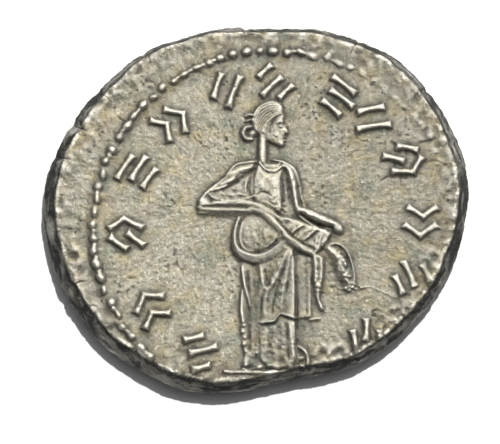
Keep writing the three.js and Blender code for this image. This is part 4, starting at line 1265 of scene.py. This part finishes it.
z = np.where(wall, z + 0.5 * edge_texture * np.sign(level) * below_rim * (1 - out_share), z)
for at, width, depth, length in SPLITS:
    away = angle_between(degrees, at)
    opened = np.clip(1 - away / (1.2 * width), 0, 1) * np.clip((level + 0.35) / 1.0, 0, 1)
    swell = swell - 0.35 * length * opened * np.clip(down / 0.3, 0, 1)
radius = share * inner + np.where(wall, swell, 0)
x = radius * np.cos(ring)
y = radius * np.sin(ring)
in_metres = np.stack([x - BOX_MIDDLE[0], y - BOX_MIDDLE[1], z], 1) / 1000
mesh.vertices.foreach_set("co", in_metres.ravel())
mesh.update()
struck.location = (0, 0, 0)
bpy.ops.object.mode_set(mode="EDIT")
bpy.ops.mesh.select_all(action="SELECT")
bpy.ops.mesh.normals_make_consistent(inside=False)
bpy.ops.object.mode_set(mode="OBJECT")
bpy.ops.object.shade_smooth()
hidden = struck.vertex_groups.new(name="hidden")
hidden.add([int(i) for i in np.nonzero(level < -0.3)[0]], 1.0, "REPLACE")
faces_now = 2 * len(mesh.polygons)
hidden_now = faces_now * (level < -0.3).mean()
under_thinning = struck.modifiers.new("under_thinning", "DECIMATE")
under_thinning.vertex_group = hidden.name
under_thinning.ratio = (faces_now - hidden_now + UNDER_TRIANGLES) / faces_now
bpy.ops.object.modifier_apply(modifier=under_thinning.name)
struck.vertex_groups.clear()
mesh = struck.data
thinning = struck.modifiers.new("thinning", "DECIMATE")
thinning.ratio = min(1.0, MOST_TRIANGLES / (len(mesh.loops) - 2 * len(mesh.polygons)))
bpy.ops.object.modifier_apply(modifier=thinning.name)

# What lies low or in painted shadow beside raised forms, what stands proud and what belongs to the edge,
# kept on the mesh for the finish
mesh = struck.data
x, y, z = corners_of(mesh).T * 1000
x, y = x + BOX_MIDDLE[0], y + BOX_MIDDLE[1]
above = z > middle_level
hollow = {}
for name, die in (("top", reverse), ("under", obverse)):
    wide = blurred(die.height, 0.2)
    near = blurred(die.height, 0.08)
    deep = (
        0.5 * np.clip((wide - die.height) / 0.09, 0, 1)
        + 0.5 * np.clip((near - die.height) / 0.028, 0, 1)
    )
    # painted shadow: ground to the lower left of raised forms, on the side away from the lamp, is
    # darkened as if they shaded it; the rest of this sheet is dirt in the hollows
    beyond = np.roll(near, (-5, -4) if name == "top" else (-5, 4), (0, 1))
    deep = np.maximum(deep, 0.62 * np.clip((beyond - die.height - 0.03) / 0.12, 0, 1))
    hollow[name] = deep
    hollow[name + "_crest"] = np.clip((die.height - wide) / 0.08, 0, 1)
dirt_and_shadow = np.where(above, sampled(hollow["top"], x, y), sampled(hollow["under"], -x, y))
crest = np.where(above, sampled(hollow["top_crest"], x, y), sampled(hollow["under_crest"], -x, y))
# the skirt is made darker, and the chest brighter
robe = np.clip(2 * (1 - np.hypot((x - 1.3) / 2.4, (y + 5.6) / 4.2)), 0, 1)
dirt_and_shadow = np.clip(dirt_and_shadow + 0.4 * robe * above * (1 - 0.7 * crest), 0, 1)
chest = np.clip(1.6 * (1 - np.hypot((x - 0.75) / 1.2, (y - 1.1) / 1.2)), 0, 1)
crest = np.clip(crest + 0.32 * chest * above * (1 - dirt_and_shadow), 0, 1)
degrees = np.degrees(np.arctan2(y, x))
outwards = np.hypot(x, y) / (rim_radius(degrees) - RIM_RADIUS + rim_wander(degrees))
edge = np.clip((outwards - 1.0) / 0.006, 0, 1)
for name, values in (
    ("dirt_and_shadow", dirt_and_shadow * (1 - edge)),
    ("crest", crest * (1 - edge)),
    ("edge", edge),
    ("outwards", outwards),
):
    layer = mesh.attributes.new(name, "FLOAT", "POINT")
    layer.data.foreach_set("value", values.astype(np.float32))


# The finish: worn billon, silvery grey with a warm olive tone in patches, brown-black dirt in the
# hollows and painted shadow beside raised forms, painted shade on the side towards the lamp,
# brighter rubbed high points and a fine grain left by the die and the ground.
billon = bpy.data.materials.new("billon")
billon.use_nodes = True
nodes, links = billon.node_tree.nodes, billon.node_tree.links
metal = nodes["Principled BSDF"]
place = nodes.new("ShaderNodeTexCoord")


def noise(scale, detail, roughness, source=None):
    node = nodes.new("ShaderNodeTexNoise")
    node.inputs["Scale"].default_value = scale
    node.inputs["Detail"].default_value = detail
    node.inputs["Roughness"].default_value = roughness
    links.new(source or place.outputs["Object"], node.inputs["Vector"])
    return node.outputs["Fac"]


def ranged(value, low, high, to_low=0.0, to_high=1.0):
    node = nodes.new("ShaderNodeMapRange")
    node.inputs["From Min"].default_value = low
    node.inputs["From Max"].default_value = high
    node.inputs["To Min"].default_value = to_low
    node.inputs["To Max"].default_value = to_high
    links.new(value, node.inputs["Value"])
    return node.outputs[0]


def math_node(operation, first, second):
    node = nodes.new("ShaderNodeMath")
    node.operation = operation
    node.use_clamp = True
    for socket, value in zip(node.inputs, (first, second)):
        if isinstance(value, (int, float)):
            socket.default_value = value
        else:
            links.new(value, socket)
    return node.outputs[0]


def mixed(factor, first, second, how="MIX"):
    node = nodes.new("ShaderNodeMix")
    node.data_type = "RGBA"
    node.blend_type = how
    links.new(factor, node.inputs["Factor"])
    for socket, value in ((node.inputs[6], first), (node.inputs[7], second)):
        if isinstance(value, tuple):
            socket.default_value = (*value, 1)
        else:
            links.new(value, socket)
    return node.outputs[2]


def from_mesh(name):
    node = nodes.new("ShaderNodeAttribute")
    node.attribute_name = name
    return node.outputs["Fac"]


low, proud, rim, reach = (from_mesh(name) for name in ("dirt_and_shadow", "crest", "edge", "outwards"))
SILVER = (0.300, 0.288, 0.240)
WARM = (0.330, 0.292, 0.182)
GREEN_GREY = (0.160, 0.178, 0.142)
BROWN = (0.190, 0.158, 0.120)
MOTTLED = (0.135, 0.127, 0.106)
SPECKLED = (0.045, 0.041, 0.036)
DARKENING_TONE = (0.46, 0.455, 0.455)
DIRT_AND_SHADE = (0.028, 0.026, 0.024)
BRIGHT_WEAR_AND_HIGHLIGHT = (0.82, 0.80, 0.73)
EDGE_DIRT_AND_SHADE = (0.045, 0.045, 0.044)
EDGE_LIT = (0.42, 0.41, 0.38)
WARM_GRAIN = 640
GREEN_GRAIN = 560
BROWN_GRAIN = 930
MOTTLE_GRAIN = 3800
SPECKLE_GRAIN = 9000
GLINT_GRAIN = 6100
DIRT_AND_SHADE_GRAIN = 2200
RIM_GRAIN = 1500
WALL_GRAIN = 1150
ROUGH_GRAIN = 2600
BUMP_GRAIN = 5200
BUMP_HEIGHT = 0.00008
WALL_STRETCH = (0.5, 0.5, 4.0)
warm_patches = ranged(noise(WARM_GRAIN, 6, 0.68), 0.46, 0.62)
green_patches = ranged(noise(GREEN_GRAIN, 6, 0.66), 0.50, 0.64)
brown_patches = ranged(noise(BROWN_GRAIN, 6, 0.7), 0.53, 0.66)
mottle = ranged(noise(MOTTLE_GRAIN, 5, 0.75), 0.36, 0.66)
speckle = ranged(noise(SPECKLE_GRAIN, 3, 0.8), 0.60, 0.70)
glints = ranged(noise(GLINT_GRAIN, 4, 0.8), 0.575, 0.66)
# painted shade: the half of the face towards the lamp, up and to the right, is darkened to even out the
# stronger light there
towards = nodes.new("ShaderNodeVectorMath")
towards.operation = "DOT_PRODUCT"
towards.inputs[1].default_value = (0.7, 0.7, 0.0)
links.new(place.outputs["Object"], towards.inputs[0])
painted_lamp_side_shade = ranged(towards.outputs["Value"], -0.006, 0.009, 0.0, 0.54)
colour = mixed(warm_patches, SILVER, WARM)
colour = mixed(math_node("MULTIPLY", green_patches, 0.8), colour, GREEN_GREY)
colour = mixed(math_node("MULTIPLY", brown_patches, 0.7), colour, BROWN)
colour = mixed(math_node("MULTIPLY", mottle, 0.45), colour, MOTTLED)
colour = mixed(math_node("MULTIPLY", speckle, 0.65), colour, SPECKLED)
colour = mixed(math_node("MULTIPLY", glints, 0.5), colour, BRIGHT_WEAR_AND_HIGHLIGHT)
colour = mixed(painted_lamp_side_shade, colour, DARKENING_TONE, "MULTIPLY")
# the face is also darkened towards the rim
colour = mixed(ranged(reach, 0.84, 0.92, 0.0, 0.30), colour, DARKENING_TONE, "MULTIPLY")
# dirt in the hollows together with painted shadow beside raised forms, broken up by noise
dirt_and_shade_break = ranged(noise(DIRT_AND_SHADE_GRAIN, 4, 0.65), 0.3, 0.6, 0.35, 1.0)
soiled_or_shaded = math_node("MULTIPLY", low, dirt_and_shade_break)
colour = mixed(soiled_or_shaded, colour, DIRT_AND_SHADE)
colour = mixed(math_node("MULTIPLY", proud, 0.5), colour, BRIGHT_WEAR_AND_HIGHLIGHT)
# the rim carries a broken painted highlight that also stands for rubbed wear, and the hammered wall
# is near-black, dirt and painted shade together, with lighter streaks along it
rim_highlight_and_wear = math_node(
    "MULTIPLY", ranged(reach, 0.980, 0.992), ranged(noise(RIM_GRAIN, 5, 0.7), 0.50, 0.62, 0.0, 0.75),
)
colour = mixed(rim_highlight_and_wear, colour, BRIGHT_WEAR_AND_HIGHLIGHT)
along_wall = nodes.new("ShaderNodeVectorMath")
along_wall.operation = "MULTIPLY"
along_wall.inputs[1].default_value = WALL_STRETCH
links.new(place.outputs["Object"], along_wall.inputs[0])
streaks = ranged(noise(WALL_GRAIN, 7, 0.70, along_wall.outputs[0]), 0.46, 0.70)
streaks = math_node("MULTIPLY", streaks, ranged(reach, 1.006, 1.022, 0.25, 1.0))
# near-black wall of dirt and painted shade, with lighter streaks
wall_colour = mixed(streaks, EDGE_DIRT_AND_SHADE, EDGE_LIT)
colour = mixed(rim, colour, wall_colour)
links.new(colour, metal.inputs["Base Color"])
rough = ranged(noise(ROUGH_GRAIN, 3, 0.6), 0.3, 0.7, 0.30, 0.45)
rough = math_node("ADD", rough, math_node("MULTIPLY", soiled_or_shaded, 0.3))
rough = math_node("ADD", rough, math_node("MULTIPLY", rim, 0.12))
links.new(rough, metal.inputs["Roughness"])
links.new(ranged(soiled_or_shaded, 0, 1, 0.88, 0.4), metal.inputs["Metallic"])
grain = nodes.new("ShaderNodeBump")
grain.inputs["Strength"].default_value = 0.8
grain.inputs["Distance"].default_value = BUMP_HEIGHT
links.new(noise(BUMP_GRAIN, 5, 0.75), grain.inputs["Height"])
links.new(grain.outputs["Normal"], metal.inputs["Normal"])

mesh.materials.clear()
mesh.materials.append(billon)
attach(struck, "root")
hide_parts("coin")
